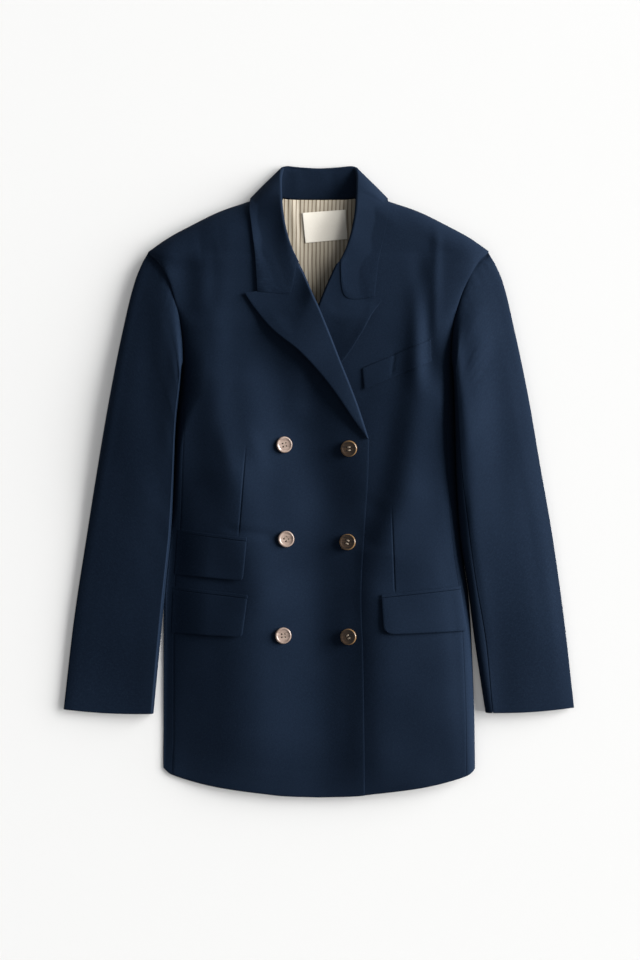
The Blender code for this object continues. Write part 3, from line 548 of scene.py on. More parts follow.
# %% A finish
class Finish:
    """A Principled material, with one method that adds any other node."""

    def __init__(self, name, **fixed):
        self.material = bpy.data.materials.new(name)
        self.material.use_nodes = True
        self.tree = self.material.node_tree
        self.shader = self.tree.nodes["Principled BSDF"]
        for socket, value in fixed.items():
            self.shader.inputs[socket.replace("_", " ")].default_value = value

    def node(self, kind, settings=None, sockets=None, output=0):
        """A node of this type, set up first and then given its sockets' values or links."""
        node = self.tree.nodes.new(kind)
        for key, value in (settings or {}).items():
            if key == "stops":
                for stop, (position, colour) in zip(ramp_stops(node, len(value)), value):
                    stop.position = position
                    stop.color = (*colour, 1.0)
            else:
                setattr(node, key, value)
        for key, value in (sockets or {}).items():
            if isinstance(value, Wire):
                self.tree.links.new(value.socket, node.inputs[key])
            else:
                node.inputs[key].default_value = value
        return Wire(node.outputs[output])

    def place(self):
        """The place on the piece, for what isn't woven."""
        return self.node("ShaderNodeTexCoord", {}, {}, "Object")

    def layout(self, name="weave"):
        """The piece's own UV map of that name."""
        return self.node("ShaderNodeUVMap", {"uv_map": name})

    def part(self, vector, axis=0):
        return self.node("ShaderNodeSeparateXYZ", {}, {"Vector": vector}, axis)

    def noise(self, vector, scale, detail=2.0, roughness=0.5):
        return self.node("ShaderNodeTexNoise", {}, {
            "Vector": vector, "Scale": scale, "Detail": detail, "Roughness": roughness}, "Fac")

    def streaks(self, vector, scale, detail=1.0, roughness=0.5, turn=0.0):
        """Noise that is stretched by a scale along each direction."""
        stretched = self.node("ShaderNodeMapping", {}, {
            "Vector": vector, "Scale": scale, "Rotation": (0, 0, turn)})
        return self.noise(stretched, 1.0, detail, roughness)

    def mixed(self, factor, first, second):
        """A mix of two colours, or of a colour link and a colour."""
        return self.node("ShaderNodeMix", {"data_type": "RGBA"}, {
            0: factor, 6: first, 7: second}, 2)

    def feed(self, socket, wire):
        self.tree.links.new(wire.socket, self.shader.inputs[socket])

    def done(self, colour, roughness, height, distance, strength):
        """Feeds the shader with colour, roughness and a bump, and gives the material."""
        self.feed("Base Color", colour)
        if roughness:
            self.feed("Roughness", roughness)
        self.feed("Normal", self.node("ShaderNodeBump", {}, {
            "Height": height, "Distance": distance, "Strength": strength}))
        return self.material


def ramp_stops(node, count):
    """The stops of a colour ramp, as many as asked for."""
    elements = node.color_ramp.elements
    while len(elements) < count:
        elements.new(1.0)
    return elements


# %% [markdown]
# ## Navy wool
#
# The cloth is a fine, dense wool suiting. From a step away it is one deep navy with a faint dry
# grain. Close up there are diagonal ribs well under a millimetre wide, crossed by single threads
# that took the dye a little lighter or darker. The ribs are a sine of both UV directions. The
# threads are noise stretched along the warp and along the weft. A broad, faint cloudiness stands
# for handling and pressing.

# %% The wool
NAVY = (0.0076, 0.0165, 0.0350, 1)
NAVY_DEEP = (0.0053, 0.0116, 0.0256, 1)
NAVY_LIGHT = (0.0140, 0.0264, 0.0510, 1)
RIB_PITCH = 0.0011
RIB_SLOPE = 1.25


def navy_wool():
    finish = Finish("suiting_wool", Roughness=0.85, Specular_IOR_Level=0.07)
    weave = finish.layout()
    turn = 2 * math.pi / RIB_PITCH
    diagonal = finish.part(weave) * turn + finish.part(weave, 1) * turn * RIB_SLOPE
    ribs = diagonal.sine() * 0.5 + 0.5
    warp = finish.streaks(weave, (2600, 240, 1))
    weft = finish.streaks(weave, (260, 2400, 1))
    grain = (warp + weft) * 0.5
    cloud = finish.noise(weave, 14.0, 3.0)
    mottle = finish.noise(weave, 420.0, 3.0, 0.6)
    fleck = finish.noise(weave, 900.0, 1.0)
    colour = finish.mixed(grain.between(0.36, 0.64), NAVY_DEEP, NAVY)
    colour = finish.mixed(fleck.between(0.52, 0.80) * 0.55, colour, NAVY_LIGHT)
    colour = finish.mixed(cloud.between(0.35, 0.75) * 0.16, colour, NAVY_LIGHT)
    colour = finish.mixed(mottle.between(0.50, 0.72) * 0.30, colour, NAVY_LIGHT)
    colour = finish.mixed((1 - mottle).between(0.52, 0.72) * 0.35, colour, NAVY_DEEP)
    height = ribs * 0.45 + grain * 0.8 + fleck * 0.3 + mottle * 0.9
    return finish.done(colour, 0.78 + grain * 0.14, height, 0.00022, 0.55)


wool = navy_wool()
print("finish:", wool.name, "with", len(wool.node_tree.nodes), "nodes")

# %% [markdown]
# ## The fronts
#
# Each front is one cut piece from the shoulder to the hem. Its plan is a patch between four
# curves: hem, shoulder seam, side seam with the armhole, and the free edge with the roll line
# and the neck seam. The free edge is pressed thin, so it drops a little. A dart runs down from
# under the chest to the pocket: a stitched fold that shows as a fine groove with a soft swell
# beside it. The grid has narrow columns there, where wide ones would lose the groove.

# %% Plan patches
SIDE_HEM_Y = -376.0
UNDERARM_SEAM = 1.2
SEAM_CLOSES, SEAM_OPENS = 10.0, 110.0   # above the underarm, and from there down
BEHIND_ROLL, BEHIND_RUN = 3.7, 12.0     # the front reaches this far past the roll
FRONT_WIDTH = 160.0
FRONT_HEM_X = 60.0
BACK_HEM_SHORTER = 3.0
UNDERARM_V = 0.70
BREAK_V = 0.54
GORGE_V = 0.84
FRONT_ROWS = table("v side_y centre_y", (
    (BREAK_V, BREAK_Y, BREAK_Y), (UNDERARM_V, UNDERARM_Y, 190.0),
    (GORGE_V, 240.0, GORGE_Y), (1.0, SHOULDER_Y, 376.2),
))


def coons(low, high, start, end):
    """The plan patch between four curves: low and high along u, start and end along v."""
    def plan(u, v):
        a, b = u[..., None], v[..., None]
        edges = (1 - b) * low(u) + b * high(u) + (1 - a) * start(v) + a * end(v)
        corners = (1 - a) * (1 - b) * low(ZERO) + a * (1 - b) * low(ONE)
        corners = corners + (1 - a) * b * high(ZERO) + a * b * high(ONE)
        return edges - corners
    return plan


def side_x(side, y):
    return edge_right(y) if side == RIGHT else edge_left(y)


def seam_inset(y, full):
    """Distance of a side seam from the fold, closing to nothing just above the underarm."""
    least = UNDERARM_SEAM * smooth((UNDERARM_Y + SEAM_CLOSES - y) / SEAM_CLOSES)
    return least + (full - least) * smooth((UNDERARM_Y - y) / SEAM_OPENS)


def inset(value, size):
    """A stop moved in from 0 and 1 by the seam gap of a piece of this size."""
    gap = SEAM / size
    return gap + value * (1 - 2 * gap)


def pinned(path, first, last):
    """The path, moved so that it starts and ends exactly at two points."""
    def moved(v):
        b = v[..., None]
        return path(v) + (1 - b) * (first - path(ZERO)) + b * (last - path(ONE))
    return moved


def between_places(line, first, last, shift=0.0):
    """The stretch of a hem or shoulder line from one X to another, as a curve of a share."""
    def at(u):
        x = first + (last - first) * u
        return place(x, line(x) + shift)
    return at


def front_plan(side):
    """Plan patch of a front: u from its side seam and armhole to its free edge, v from the hem."""
    rows = [0.0, *FRONT_ROWS["v"]]
    side_hem = float(hem_line(abs(float(side_x(side, SIDE_HEM_Y))) - SEAM_FROM_FOLD))
    side_ys = [side_hem, *FRONT_ROWS["side_y"]]
    centre_ys = [float(hem_line(FRONT_HEM_X)), *FRONT_ROWS["centre_y"]]

    def start(v):
        y = np.interp(v, rows, side_ys)
        return place(side_x(side, y) - side * seam_inset(y, SEAM_FROM_FOLD), y)

    def end(v):
        y = np.interp(v, rows, centre_ys)
        roll = roll_line[side](y) + side * BEHIND_ROLL * smooth((y - BREAK_Y) / BEHIND_RUN)
        x = np.where(y <= GORGE_Y, roll, side * neck_seam(y))
        return place(np.where(y <= BREAK_Y, free_edge[side](y), x), y)

    low = between_places(hem_line, start(ZERO)[0, 0], end(ZERO)[0, 0])
    high = between_places(shoulder_line, start(ONE)[0, 0], end(ONE)[0, 0])
    return coons(low, high, pinned(start, low(ZERO), high(ZERO)),
                 pinned(end, low(ONE), high(ONE)))


# %% Edges and darts
EDGE_DROP = 0.5            # a pressed edge is this much thinner than the cloth behind it
EDGE_REACH = 3.0
EDGE_FADE = 20.0           # the free edge is pressed up to this far below the gorge
HEM_TURN, HEM_STEP = 34.0, 0.25     # depth of the hem's turning, and the faint step it makes
STEP_RUN, HEM_RUN = 4.0, 6.0
DARTS = table("x0 y0 x1 y1", (
    (-93.6, 57.0, -104.0, -66.0),
    (93.6, -22.8, 98.0, -140.0),
))
DART_BAND = (0.298, 0.356)     # shares across a front between which its dart runs
DART_DEPTH = 0.8
DART_WIDTH = 0.9
DART_DEEPENS, DART_CLOSES = 2.6, 30.0   # how fast, in shares, below its point and at its end
DART_END = 1.02
DART_SWELL, SWELL_WIDTH = 1.1, 26.0
SHOULDER_PART, PART_FROM_V = 0.15, 0.97     # front and back pull apart at the shoulder seam


def pressed(distance):
    """Drop of the cloth at this distance from a pressed edge."""
    return -EDGE_DROP * (1 - bulge(distance / EDGE_REACH))


def dart(x, y):
    """A dart's groove, and the swell that it leaves above its point and on its middle side."""
    total = np.zeros(np.broadcast(x, y).shape)
    for x0, y0, x1, y1 in zip(*DARTS.values()):
        along = (y0 - y) / (y0 - y1)
        across = x - (x0 + (x1 - x0) * along)
        sewn = smooth(along * DART_DEEPENS) * smooth((DART_END - along) * DART_CLOSES)
        total = total - DART_DEPTH * sewn * ridge(across, DART_WIDTH)
        over = smooth((along + 0.5) / 0.7) * smooth((0.8 - along) / 0.6)
        total = total + DART_SWELL * over * ridge(across, SWELL_WIDTH)
    return total


def left_face(x, y):
    return body_top(x, y) + dart(x, y)


def right_face(x, y):
    return right_front_top(x, y) + dart(x, y)


FACES = {RIGHT: right_face, LEFT: left_face}    # what lies on a front lies on these


def relief(v):
    return SHOULDER_PART * smooth((v - PART_FROM_V) / (1 - PART_FROM_V))


# %% Make the fronts
def make_front(side):
    plan = front_plan(side)
    face = FACES[side]

    def surface(u, v):
        x, y = apart(plan(inset(u, FRONT_WIDTH), v))
        from_edge = np.abs(plan(np.ones_like(u), v)[..., 0] - x)
        from_hem = y - hem_line(x)
        z = face(x, y) + relief(v)
        z = z + pressed(from_edge) * smooth((GORGE_Y - y) / EDGE_FADE) + pressed(from_hem)
        turned = smooth((HEM_TURN - from_hem) / STEP_RUN) * smooth(from_hem / HEM_RUN)
        z = z + HEM_STEP * turned
        return place(x, y, z)

    low, high = DART_BAND
    across = stops((0, 0.10, 8), (0.10, low, 14), (low, high, 26), (high, 0.95, 40),
                   (0.95, 0.985, 3), (0.985, 1, 4))
    along = stops((0, 0.008, 4), (0.008, 0.06, 10), (0.06, BREAK_V, 116), (BREAK_V, 0.56, 6),
                  (0.56, UNDERARM_V, 40), (UNDERARM_V, GORGE_V, 44), (GORGE_V, 0.95, 30),
                  (0.95, 1, 18))
    return wall_of("front_" + SIDES[side], surface, across, along, outward=-side)


for piece in map(make_front, SIDES):
    print(piece.name, len(piece.data.polygons), "faces")

# %% [markdown]
# ## Back and side panels
#
# The back lies on the floor, so it only shows at the hem, at the sides and inside the neck. It
# still gets its middle seam and the faint creases of cloth that carries the weight of the
# fronts, on the same patches as the fronts. Each side panel is a strip that starts at the
# front's seam, goes round the folded edge and ends at the back's seam.

# %% Make the back
BACK_CREASES = table("x0 y0 x1 y1 half_width depth", (
    (-60, 120, -74, -120, 13.0, 1.0),
    (52, 40, 70, -240, 15.0, 1.2),
    (-118, -60, -126, -330, 12.0, 0.9),
    (110, 230, 96, 90, 12.0, 0.8),
    (-100, 250, -60, 190, 11.0, 0.8),
    (16, -180, 22, -350, 11.0, 0.7),
))


def make_back(side):
    top_y = float(shoulder_line(0.0))
    low_y = float(hem_line(0.0)) + BACK_HEM_SHORTER
    seam_x = abs(float(side_x(side, SIDE_HEM_Y))) - BACK_SEAM_FROM_FOLD
    ys = (float(hem_line(seam_x)) + BACK_HEM_SHORTER, BREAK_Y, UNDERARM_Y, SHOULDER_Y)

    def start(v):
        return place(np.full_like(v, side * SEAM), low_y + (top_y - low_y) * v)

    def end(v):
        y = np.interp(v, (0, BREAK_V, UNDERARM_V, 1), ys)
        x = side_x(side, y) - side * seam_inset(y, BACK_SEAM_FROM_FOLD)
        return place(x - side * SEAM, y)

    low = between_places(hem_line, side * SEAM, end(ZERO)[0, 0], BACK_HEM_SHORTER)
    high = between_places(shoulder_line, side * SEAM, end(ONE)[0, 0])
    plan = coons(low, high, start, pinned(end, low(ONE), end(ONE)))

    def surface(u, v):
        x, y = apart(plan(u, v))
        z = body_bottom(x, y) - relief(v) + np.maximum(creases(BACK_CREASES, x, y), 0.0)
        return place(x, y, z)

    across = stops((0, 0.05, 3), (0.05, 0.9, 28), (0.9, 1, 7))
    along = stops((0, BREAK_V, 60), (BREAK_V, UNDERARM_V, 20), (UNDERARM_V, 0.90, 28),
                  (0.90, 1, 24))
    return wall_of("back_" + SIDES[side], surface, across, along, outward=-side)


# %% Make the side panels
PANEL_WIDTH, PANEL_LENGTH = 60.0, 780.0


def make_side_panel(side):
    hem_fold = abs(float(side_x(side, SIDE_HEM_Y)))

    def surface(u, v):
        turn = 2 * u - 1
        front_half = turn < 0
        reach = np.where(front_half, SEAM_FROM_FOLD, BACK_SEAM_FROM_FOLD)
        low_y = hem_line(hem_fold - reach * turn ** 2) + BACK_HEM_SHORTER * smooth(u * 2)
        below = low_y + (BREAK_Y - low_y) * v / BREAK_V
        above = BREAK_Y + (UNDERARM_Y - BREAK_Y) * (v - BREAK_V) / (UNDERARM_V - BREAK_V)
        y = np.where(v < BREAK_V, below, above)
        x = side_x(side, y) - side * (seam_inset(y, reach) - SEAM) * turn ** 2
        z = np.where(front_half, body_top(x, y), body_bottom(x, y))
        return place(x, y, z)

    def grain(u, v):
        return place((u - 0.5) * PANEL_WIDTH, v * PANEL_LENGTH)

    across = stops((0, 0.5, 14), (0.5, 0.8, 10), (0.8, 1, 6))
    along = stops((0, BREAK_V, 90), (BREAK_V, UNDERARM_V, 30))
    return wall_of("side_panel_" + SIDES[side], surface, across, along, outward=side,
                   grain=grain, bevel=SOFT_BEVEL)


for side in SIDES:
    print(make_back(side).name, make_side_panel(side).name)

# %% [markdown]
# ## The sleeves
#
# A sleeve that lies flat is a tube pressed to a third of its width, in two cut pieces: the top
# sleeve and the under sleeve, with one seam along the forearm and one along the back of the arm.
# We go round it by an angle and along it by a share, so both pieces come from one ring. The head
# is full, where the tailor eased more cloth into the armhole than fits flat, and that fullness
# shows as small soft dents beside the seam. Long creases run down from there.

# %% Sizes of the sleeves
SLEEVE_COLUMNS = "v outer_x outer_y inner_x inner_y fold outer inner forearm"
SLEEVE = {RIGHT: table(SLEEVE_COLUMNS, (
    (0.0, -223.9, 299.8, -177.8, 159.2, 12.3, 16.5, 45.6, 0.6),
    (0.07, -239.4, 263.0, -180.4, 127.0, 13.4, 17.2, 39.7, 0.8),
    (0.19, -255.5, 198.0, -185.6, 78.0, 14.0, 18.3, 38.0, 1.0),
    (0.35, -273.0, 110.0, -189.0, 5.0, 13.4, 21.9, 33.8, 1.0),
    (0.52, -288.5, 20.0, -193.0, -65.0, 12.2, 19.8, 28.8, 1.0),
    (0.68, -302.6, -68.0, -200.0, -135.0, 10.8, 14.4, 29.7, 1.0),
    (0.84, -320.0, -182.0, -206.6, -205.0, 9.6, 12.1, 29.0, 1.0),
    (1.0, -333.2, -296.0, -215.8, -301.0, 8.4, 10.2, 18.6, 1.0),
)), LEFT: table(SLEEVE_COLUMNS, (
    (0.0, 221.8, 299.8, 173.2, 159.2, 12.3, 22.3, 39.6, 0.6),
    (0.07, 238.6, 263.0, 175.4, 127.0, 13.4, 16.4, 44.8, 4.0),
    (0.19, 254.6, 198.0, 176.8, 78.0, 14.0, 16.0, 46.4, 8.0),
    (0.35, 273.0, 110.0, 179.0, 5.0, 13.4, 15.6, 37.2, 12.0),
    (0.52, 288.5, 20.0, 183.0, -65.0, 12.2, 14.0, 32.0, 16.0),
    (0.68, 304.0, -68.0, 193.6, -135.0, 10.8, 12.6, 36.8, 13.0),
    (0.84, 320.0, -182.0, 202.6, -205.0, 9.6, 11.4, 28.9, 15.0),
    (1.0, 332.8, -293.6, 217.1, -300.0, 8.4, 11.4, 20.9, 9.0),
))}
HINDARM_FROM_FOLD = 28.0
CUFF_BOW = 2.2
ARMHOLE_BLEND = 30.0
ARMHOLE_GAP = 0.9
TUCK = 2.2                 # the sleeve's end goes this far under the front's edge
TUCK_DROP = 2.6            # and this far below it
TUCK_WAY, TUCK_RUN = (0.88, 0.48), 14.0
ARMHOLE_POWER = 1.25       # the armhole falls slowly at first and steeply at the underarm
SLEEVE_LENGTH = 520.0
SLEEVE_ROUND = 230.0
SEAM_ANGLE = 0.012
EDGE_ROUND = {RIGHT: (14.0, 3.2), LEFT: (26.0, 12.0)}   # at the outer and the inner edge
SLEEVE_CREASES = {
    RIGHT: table("u0 v0 u1 v1 half_width depth", (
        (0.80, 0.06, 0.84, 0.24, 0.21, 3.4),
        (0.32, 0.00, 0.69, 0.31, 0.27, 3.7),
        (0.49, 0.25, 0.60, 0.58, 0.22, 3.6),
        (0.37, 0.55, 0.39, 0.88, 0.18, 1.4),
        (0.20, 0.15, 0.35, 0.56, 0.19, 3.0),
        (0.77, 0.37, 0.92, 0.54, 0.24, 1.6),
        (0.59, 0.59, 0.61, 0.90, 0.16, 1.0),
        (0.85, 0.23, 0.75, 0.39, 0.18, 2.5),
        (0.18, 0.32, 0.22, 0.98, 0.10, 0.4),
        (0.74, 0.66, 1.01, 1.08, 0.18, 0.9),
    )),
    LEFT: table("u0 v0 u1 v1 half_width depth", (
        (0.83, -0.07, 0.82, 0.34, 0.16, 3.3),
        (0.48, 0.05, 0.44, 0.19, 0.21, 3.8),
        (0.45, 0.12, 0.69, 0.80, 0.22, 4.6),
        (0.36, 0.43, 0.25, 0.93, 0.22, 3.2),
        (0.13, 0.21, 0.24, 0.59, 0.17, 2.9),
        (0.66, 0.20, 0.89, 0.61, 0.22, 6.0),
        (0.69, 0.61, 0.89, 1.03, 0.25, -5.1),
        (0.96, -0.02, 1.04, 0.35, 0.19, -5.8),
        (0.11, 0.42, 0.11, 0.91, 0.08, 1.5),
        (0.94, 0.37, 0.93, 0.88, 0.08, -3.6),
    )),
}
# Short dents across the inner fold of the left sleeve, above the elbow.
SLEEVE_DENTS = table("u v half_u half_v depth", (
    (0.46, 0.160, 0.12, 0.006, -0.36),
    (0.52, 0.182, 0.10, 0.006, -0.32),
    (0.44, 0.212, 0.11, 0.007, -0.27),
    (0.56, 0.135, 0.08, 0.006, -0.23),
))
HEAD_DENTS, HEAD_DENT_DEPTH = 22, 0.32
HEAD_DENT_V, HEAD_DENT_REACH = 0.016, 0.014
UNEVEN, UNEVEN_RATE = 1.7, 9.0     # the dents aren't spaced evenly


def sleeve_creases(u, v, side):
    total = np.zeros(np.broadcast(u, v).shape)
    for u0, v0, u1, v1, half_width, depth in zip(*SLEEVE_CREASES[side].values()):
        along = (v - v0) / (v1 - v0)
        across = u - (u0 + (u1 - u0) * along)
        total = total + depth * fading(along, 0.5) * ridge(across, half_width)
    if side == LEFT:
        for u0, v0, half_u, half_v, depth in zip(*SLEEVE_DENTS.values()):
            total = total + depth * ridge(u - u0, half_u) * ridge(v - v0, half_v)
    dents = np.sin(u * HEAD_DENTS * math.pi + UNEVEN * np.sin(u * UNEVEN_RATE))
    return total + HEAD_DENT_DEPTH * dents * ridge(v - HEAD_DENT_V, HEAD_DENT_REACH)


def span_between(start, end, v):
    """Distance between two edges at this share along them."""
    return np.sqrt(((end(v) - start(v)) ** 2).sum(axis=-1))


# %% The ring that both halves of a sleeve share
def sleeve_ring(side):
    """A function of an angle round the sleeve and a share along it that gives the surface."""
    (outer_x, outer_y, inner_x, inner_y, fold,
     outer_height, inner_height, forearm) = columns(SLEEVE[side])

    def start(v):
        return place(outer_x(v), outer_y(v))

    def end(v):
        return place(inner_x(v), inner_y(v))

    def armhole_y(u):
        return SHOULDER_Y + (UNDERARM_Y - SHOULDER_Y) * u ** ARMHOLE_POWER

    def seam_point(y):
        return place(side_x(side, y) + side * ARMHOLE_GAP, y)

    def armhole(u):
        a = u[..., None]
        shoulder, underarm = seam_point(SHOULDER_Y), seam_point(UNDERARM_Y)
        return (seam_point(armhole_y(u)) + (1 - a) * (start(ZERO) - shoulder)
                + a * (end(ZERO) - underarm))

    def cuff(u):
        a = u[..., None]
        bow = place(np.zeros_like(u), CUFF_BOW * np.sin(math.pi * u))
        return start(ONE) * (1 - a) + end(ONE) * a - bow

    plan = coons(armhole, cuff, start, end)

    def width(v):
        return span_between(start, end, v)

    def ring(angle, v):
        u = (1 + np.cos(angle)) / 2
        x, y = apart(plan(u, v))
        mid = fold(v)
        outer_round, inner_round = (np.minimum(size, rounding(mid)) for size in EDGE_ROUND[side])
        inside = bulge(u * width(v) / outer_round) * bulge((1 - u) * width(v) / inner_round)
        from_end = v * SLEEVE_LENGTH
        tuck = TUCK * (1 - smooth(from_end / TUCK_RUN))
        from_armhole = bulge((from_end - TUCK) / ARMHOLE_BLEND)
        seam_y = armhole_y(u)
        drop = np.minimum(TUCK_DROP, 0.3 * split_height(seam_y))
        upper = np.sin(angle) >= 0
        crown = outer_height(v) * (1 - u) + inner_height(v) * u + sleeve_creases(u, v, side)
        over = mid + (crown - mid) * inside
        form = np.where(upper, over, mid * (1 - inside))
        seam_z = np.where(upper, fold_height(seam_y) - drop, under_height(seam_y) + drop)
        return place(x - side * TUCK_WAY[0] * tuck, y + TUCK_WAY[1] * tuck,
                     seam_z + (form - seam_z) * from_armhole)

    def angle_at(distance, v):
        """Angle whose plan distance from the inner fold is this."""
        return np.arccos(np.maximum(-1.0, 1 - 2 * distance / width(v)))

    return ring, angle_at, forearm


# %% Make the sleeves
def make_sleeve(side):
    ring, angle_at, forearm = sleeve_ring(side)

    def forearm_angle(v):
        return angle_at(forearm(v), v)

    def hindarm_angle(v):
        return math.pi + angle_at(HINDARM_FROM_FOLD, v)

    def half(first, last):
        def surface(u, v):
            low, high = first(v) + SEAM_ANGLE, last(v) - SEAM_ANGLE
            return ring(low + (high - low) * u, v)
        return surface

    def grain(u, v):
        return place(u * SLEEVE_ROUND / 2, -v * SLEEVE_LENGTH)

    def full_turn(v):
        return 2 * math.pi + forearm_angle(v)

    along = stops((0, 0.08, 28), (0.08, 0.3, 44), (0.3, 0.94, 80), (0.94, 1, 14))
    top = stops((0, 0.16, 16), (0.16, 0.82, 40), (0.82, 1, 14))
    wall_of("top_sleeve_" + SIDES[side], half(forearm_angle, hindarm_angle), top, along,
            outward=-side, grain=grain)
    coarse = stops((0, 0.08, 14), (0.08, 0.3, 22), (0.3, 1, 44))
    wall_of("under_sleeve_" + SIDES[side], half(hindarm_angle, full_turn), even(26),
            coarse, outward=-side, grain=grain)


for side in SIDES:
    make_sleeve(side)
print("pieces so far:", len(made))

# %% [markdown]
# ## The collar
#
# The collar is one wall with a stand and a fall. Behind the neck the fall hangs under the stand,
# since the back lies on the floor; towards the gorge it turns until it lies over the stand. We
# describe it by rows round the neck. Each row gives four places across the collar: the neck
# seam, the roll, the middle of the fall and its edge, and how far the fall has turned.

# %% Rows of the collar
COLLAR = table(
    "neck_x neck_y roll_x roll_y fall_x fall_y edge_x edge_y "
    "neck_z roll_z fall_z edge_z turn on", (
        (0.0, 370.0, 0.0, 409.4, 0.0, 385.0, 0.0, 359.0, 4.1, 4.8, 0.95, 0.95, 0, 0),
        (24.0, 370.2, 23.0, 410.6, 26.0, 386.0, 27.0, 359.5, 4.1, 4.9, 0.95, 0.95, 0, 0),
        (45.0, 371.8, 41.0, 412.2, 53.0, 389.0, 63.0, 361.5, 4.6, 5.6, 1.0, 0.95, 20, 0),
        (62.5, 378.2, 47.4, 410.0, 67.0, 391.6, 88.2, 370.6, 8.6, 8.4, 8.0, 8.6, 85, 0),
        (65.0, 377.6, 49.6, 396.4, 70.0, 384.4, 89.6, 365.0, 12.5, 16.0, 17.0, 17.0, 130, 0),
        (64.6, 369.0, 49.0, 378.4, 69.0, 371.0, 90.0, 354.5, 21.0, 26.0, 27.0, 25.6, 160, 0),
        (62.0, 355.0, 47.4, 355.0, 67.0, 349.0, 88.2, 339.0, -0.9, 8.6, 5.6, 0.3, 180, 1),
        (56.4, 333.0, 43.0, 328.0, 63.0, 323.0, 85.6, 318.0, -0.9, 8.4, 5.2, 0.3, 180, 1),
        (45.6, 310.0, 35.2, 302.6, 56.0, 295.0, 82.4, 292.0, -0.9, 7.4, 4.8, 0.4, 180, 1),
        (33.0, 292.0, 26.6, 284.6, 37.0, 244.4, 79.4, 247.0, -0.9, 4.6, 3.6, 1.0, 180, 1),
    ))
LEFT_SHIFT = {                     # the left gorge lies lower and nearer the middle
    "fall": (-7.0 * 0.4, -6.4 * 0.6), "edge": (-7.0, -6.4),
}
END_CORNER = {RIGHT: 11.0, LEFT: 2.6}   # how square the collar's ends are cut
LEFT_ROLL_SHARE, LEFT_ROLL_LEAST = 0.6, 3.4     # and its roll is pressed flatter
COLLAR_ROWS = len(COLLAR["turn"]) - 1
SHIFT_FROM_ROW = 6
OVER_FROM_ROW = 3.4
CORNER_FROM_ROW = 7.0


def collar_row(number, side):
    """The four places of one row, with their heights made absolute."""
    places = []
    for spot in ("neck", "roll", "fall", "edge"):
        x = side * COLLAR[spot + "_x"][number]
        y = COLLAR[spot + "_y"][number]
        if side == LEFT and spot in LEFT_SHIFT:
            share = smooth((number - SHIFT_FROM_ROW) / (COLLAR_ROWS - SHIFT_FROM_ROW))
            x += LEFT_SHIFT[spot][0] * share
            y += LEFT_SHIFT[spot][1] * share
        base = float(body_top(x, y)) if COLLAR["on"][number] else 0.0
        rise = COLLAR[spot + "_z"][number]
        if side == LEFT and COLLAR["on"][number] and spot in ("roll", "fall"):
            rise = max(rise * LEFT_ROLL_SHARE, LEFT_ROLL_LEAST)
        places += [x, y, base + rise]
    return places + [COLLAR["turn"][number]]


def weighted(t, first, through, last, weight):
    """A curve from first to last that turns more sharply the more weight its corner has."""
    corner = (through * (2 + 2 * weight) - first - last) / (2 * weight)
    shares = (1 - t) ** 2, 2 * weight * t * (1 - t), t * t
    return (shares[0] * first + shares[1] * corner + shares[2] * last) / sum(shares)


# %% The collar's middle surface
STAND_SHARE, FALL_SHARE = 0.3, 0.4
COLLAR_CREASES = table("n0 n1 half_width depth", (
    (-3.0, -2.4, 0.10, -0.5), (2.5, 3.1, 0.10, -0.6), (-1.2, -1.6, 0.35, 0.35),
    (0.8, 0.4, 0.30, -0.35), (5.2, 5.0, 0.16, -0.4), (-5.6, -5.3, 0.18, -0.4),
))


def collar_surface():
    numbers = range(-COLLAR_ROWS, COLLAR_ROWS + 1)
    rows = [(n, *collar_row(abs(n), LEFT if n > 0 else RIGHT)) for n in numbers]
    names = "n nx ny nz rx ry rz fx fy fz ex ey ez turn"
    value = dict(zip(names.split()[1:], columns(table(names, rows))))

    def centre(round_neck, across):
        n = round_neck * COLLAR_ROWS
        neck, roll, fall, edge = (
            place(*(value[spot + axis](n) for axis in "xyz")) for spot in "nrfe")
        flat = np.array([1.0, 1.0, 0.0])
        toward = unit((roll - neck) * flat)
        side = np.where(n > 0, LEFT, RIGHT)
        outside = place(toward[..., 1] * side, -toward[..., 0] * side, 0.0)
        turn = np.radians(value["turn"](n))[..., None]
        over = np.cos(turn) * np.array([0, 0, -1.0]) + np.sin(turn) * outside
        middle = roll - toward * ROLL_RADIUS
        stand_end = middle - over * ROLL_RADIUS
        fall_start = middle + over * ROLL_RADIUS
        share = across[..., None]
        stand = neck + (stand_end - neck) * share / STAND_SHARE
        angle = math.pi * ((share - STAND_SHARE) / (FALL_SHARE - STAND_SHARE) - 0.5)
        rolled = middle + ROLL_RADIUS * (toward * np.cos(angle) + over * np.sin(angle))
        t = (share - FALL_SHARE) / (1 - FALL_SHARE)
        squareness = np.where(n > 0, END_CORNER[LEFT], END_CORNER[RIGHT])
        end_share = smooth((np.abs(n) - CORNER_FROM_ROW) / (COLLAR_ROWS - CORNER_FROM_ROW))
        weight = (1 + (squareness - 1) * end_share)[..., None]
        falling = weighted(t, fall_start, fall, edge, weight)
        crease = np.zeros(n.shape)
        for n0, n1, half_width, depth in zip(*COLLAR_CREASES.values()):
            crease = crease + depth * ridge(n - n0 - (n1 - n0) * across, half_width)
        falling[..., 2] += crease * smooth(t[..., 0] * 4) * (np.abs(n) > OVER_FROM_ROW)
        stand[..., 2] += crease * smooth(across / STAND_SHARE * 3)
        half = CLOTH / 2
        falling[..., 2] = np.maximum(falling[..., 2], half + 0.02)
        x, y = falling[..., 0], falling[..., 1]
        on_body = y < shoulder_line(x) + SHOULDER_GROW
        over_shoulder = (np.abs(n) >= OVER_FROM_ROW) & on_body
        rest = body_top(x, y, SHOULDER_GROW) + half
        falling[..., 2] = np.where(over_shoulder, np.maximum(falling[..., 2], rest),
                                   falling[..., 2])
        points = np.where(share < STAND_SHARE, stand, rolled)
        return np.where(share < FALL_SHARE, points, falling)

    return centre


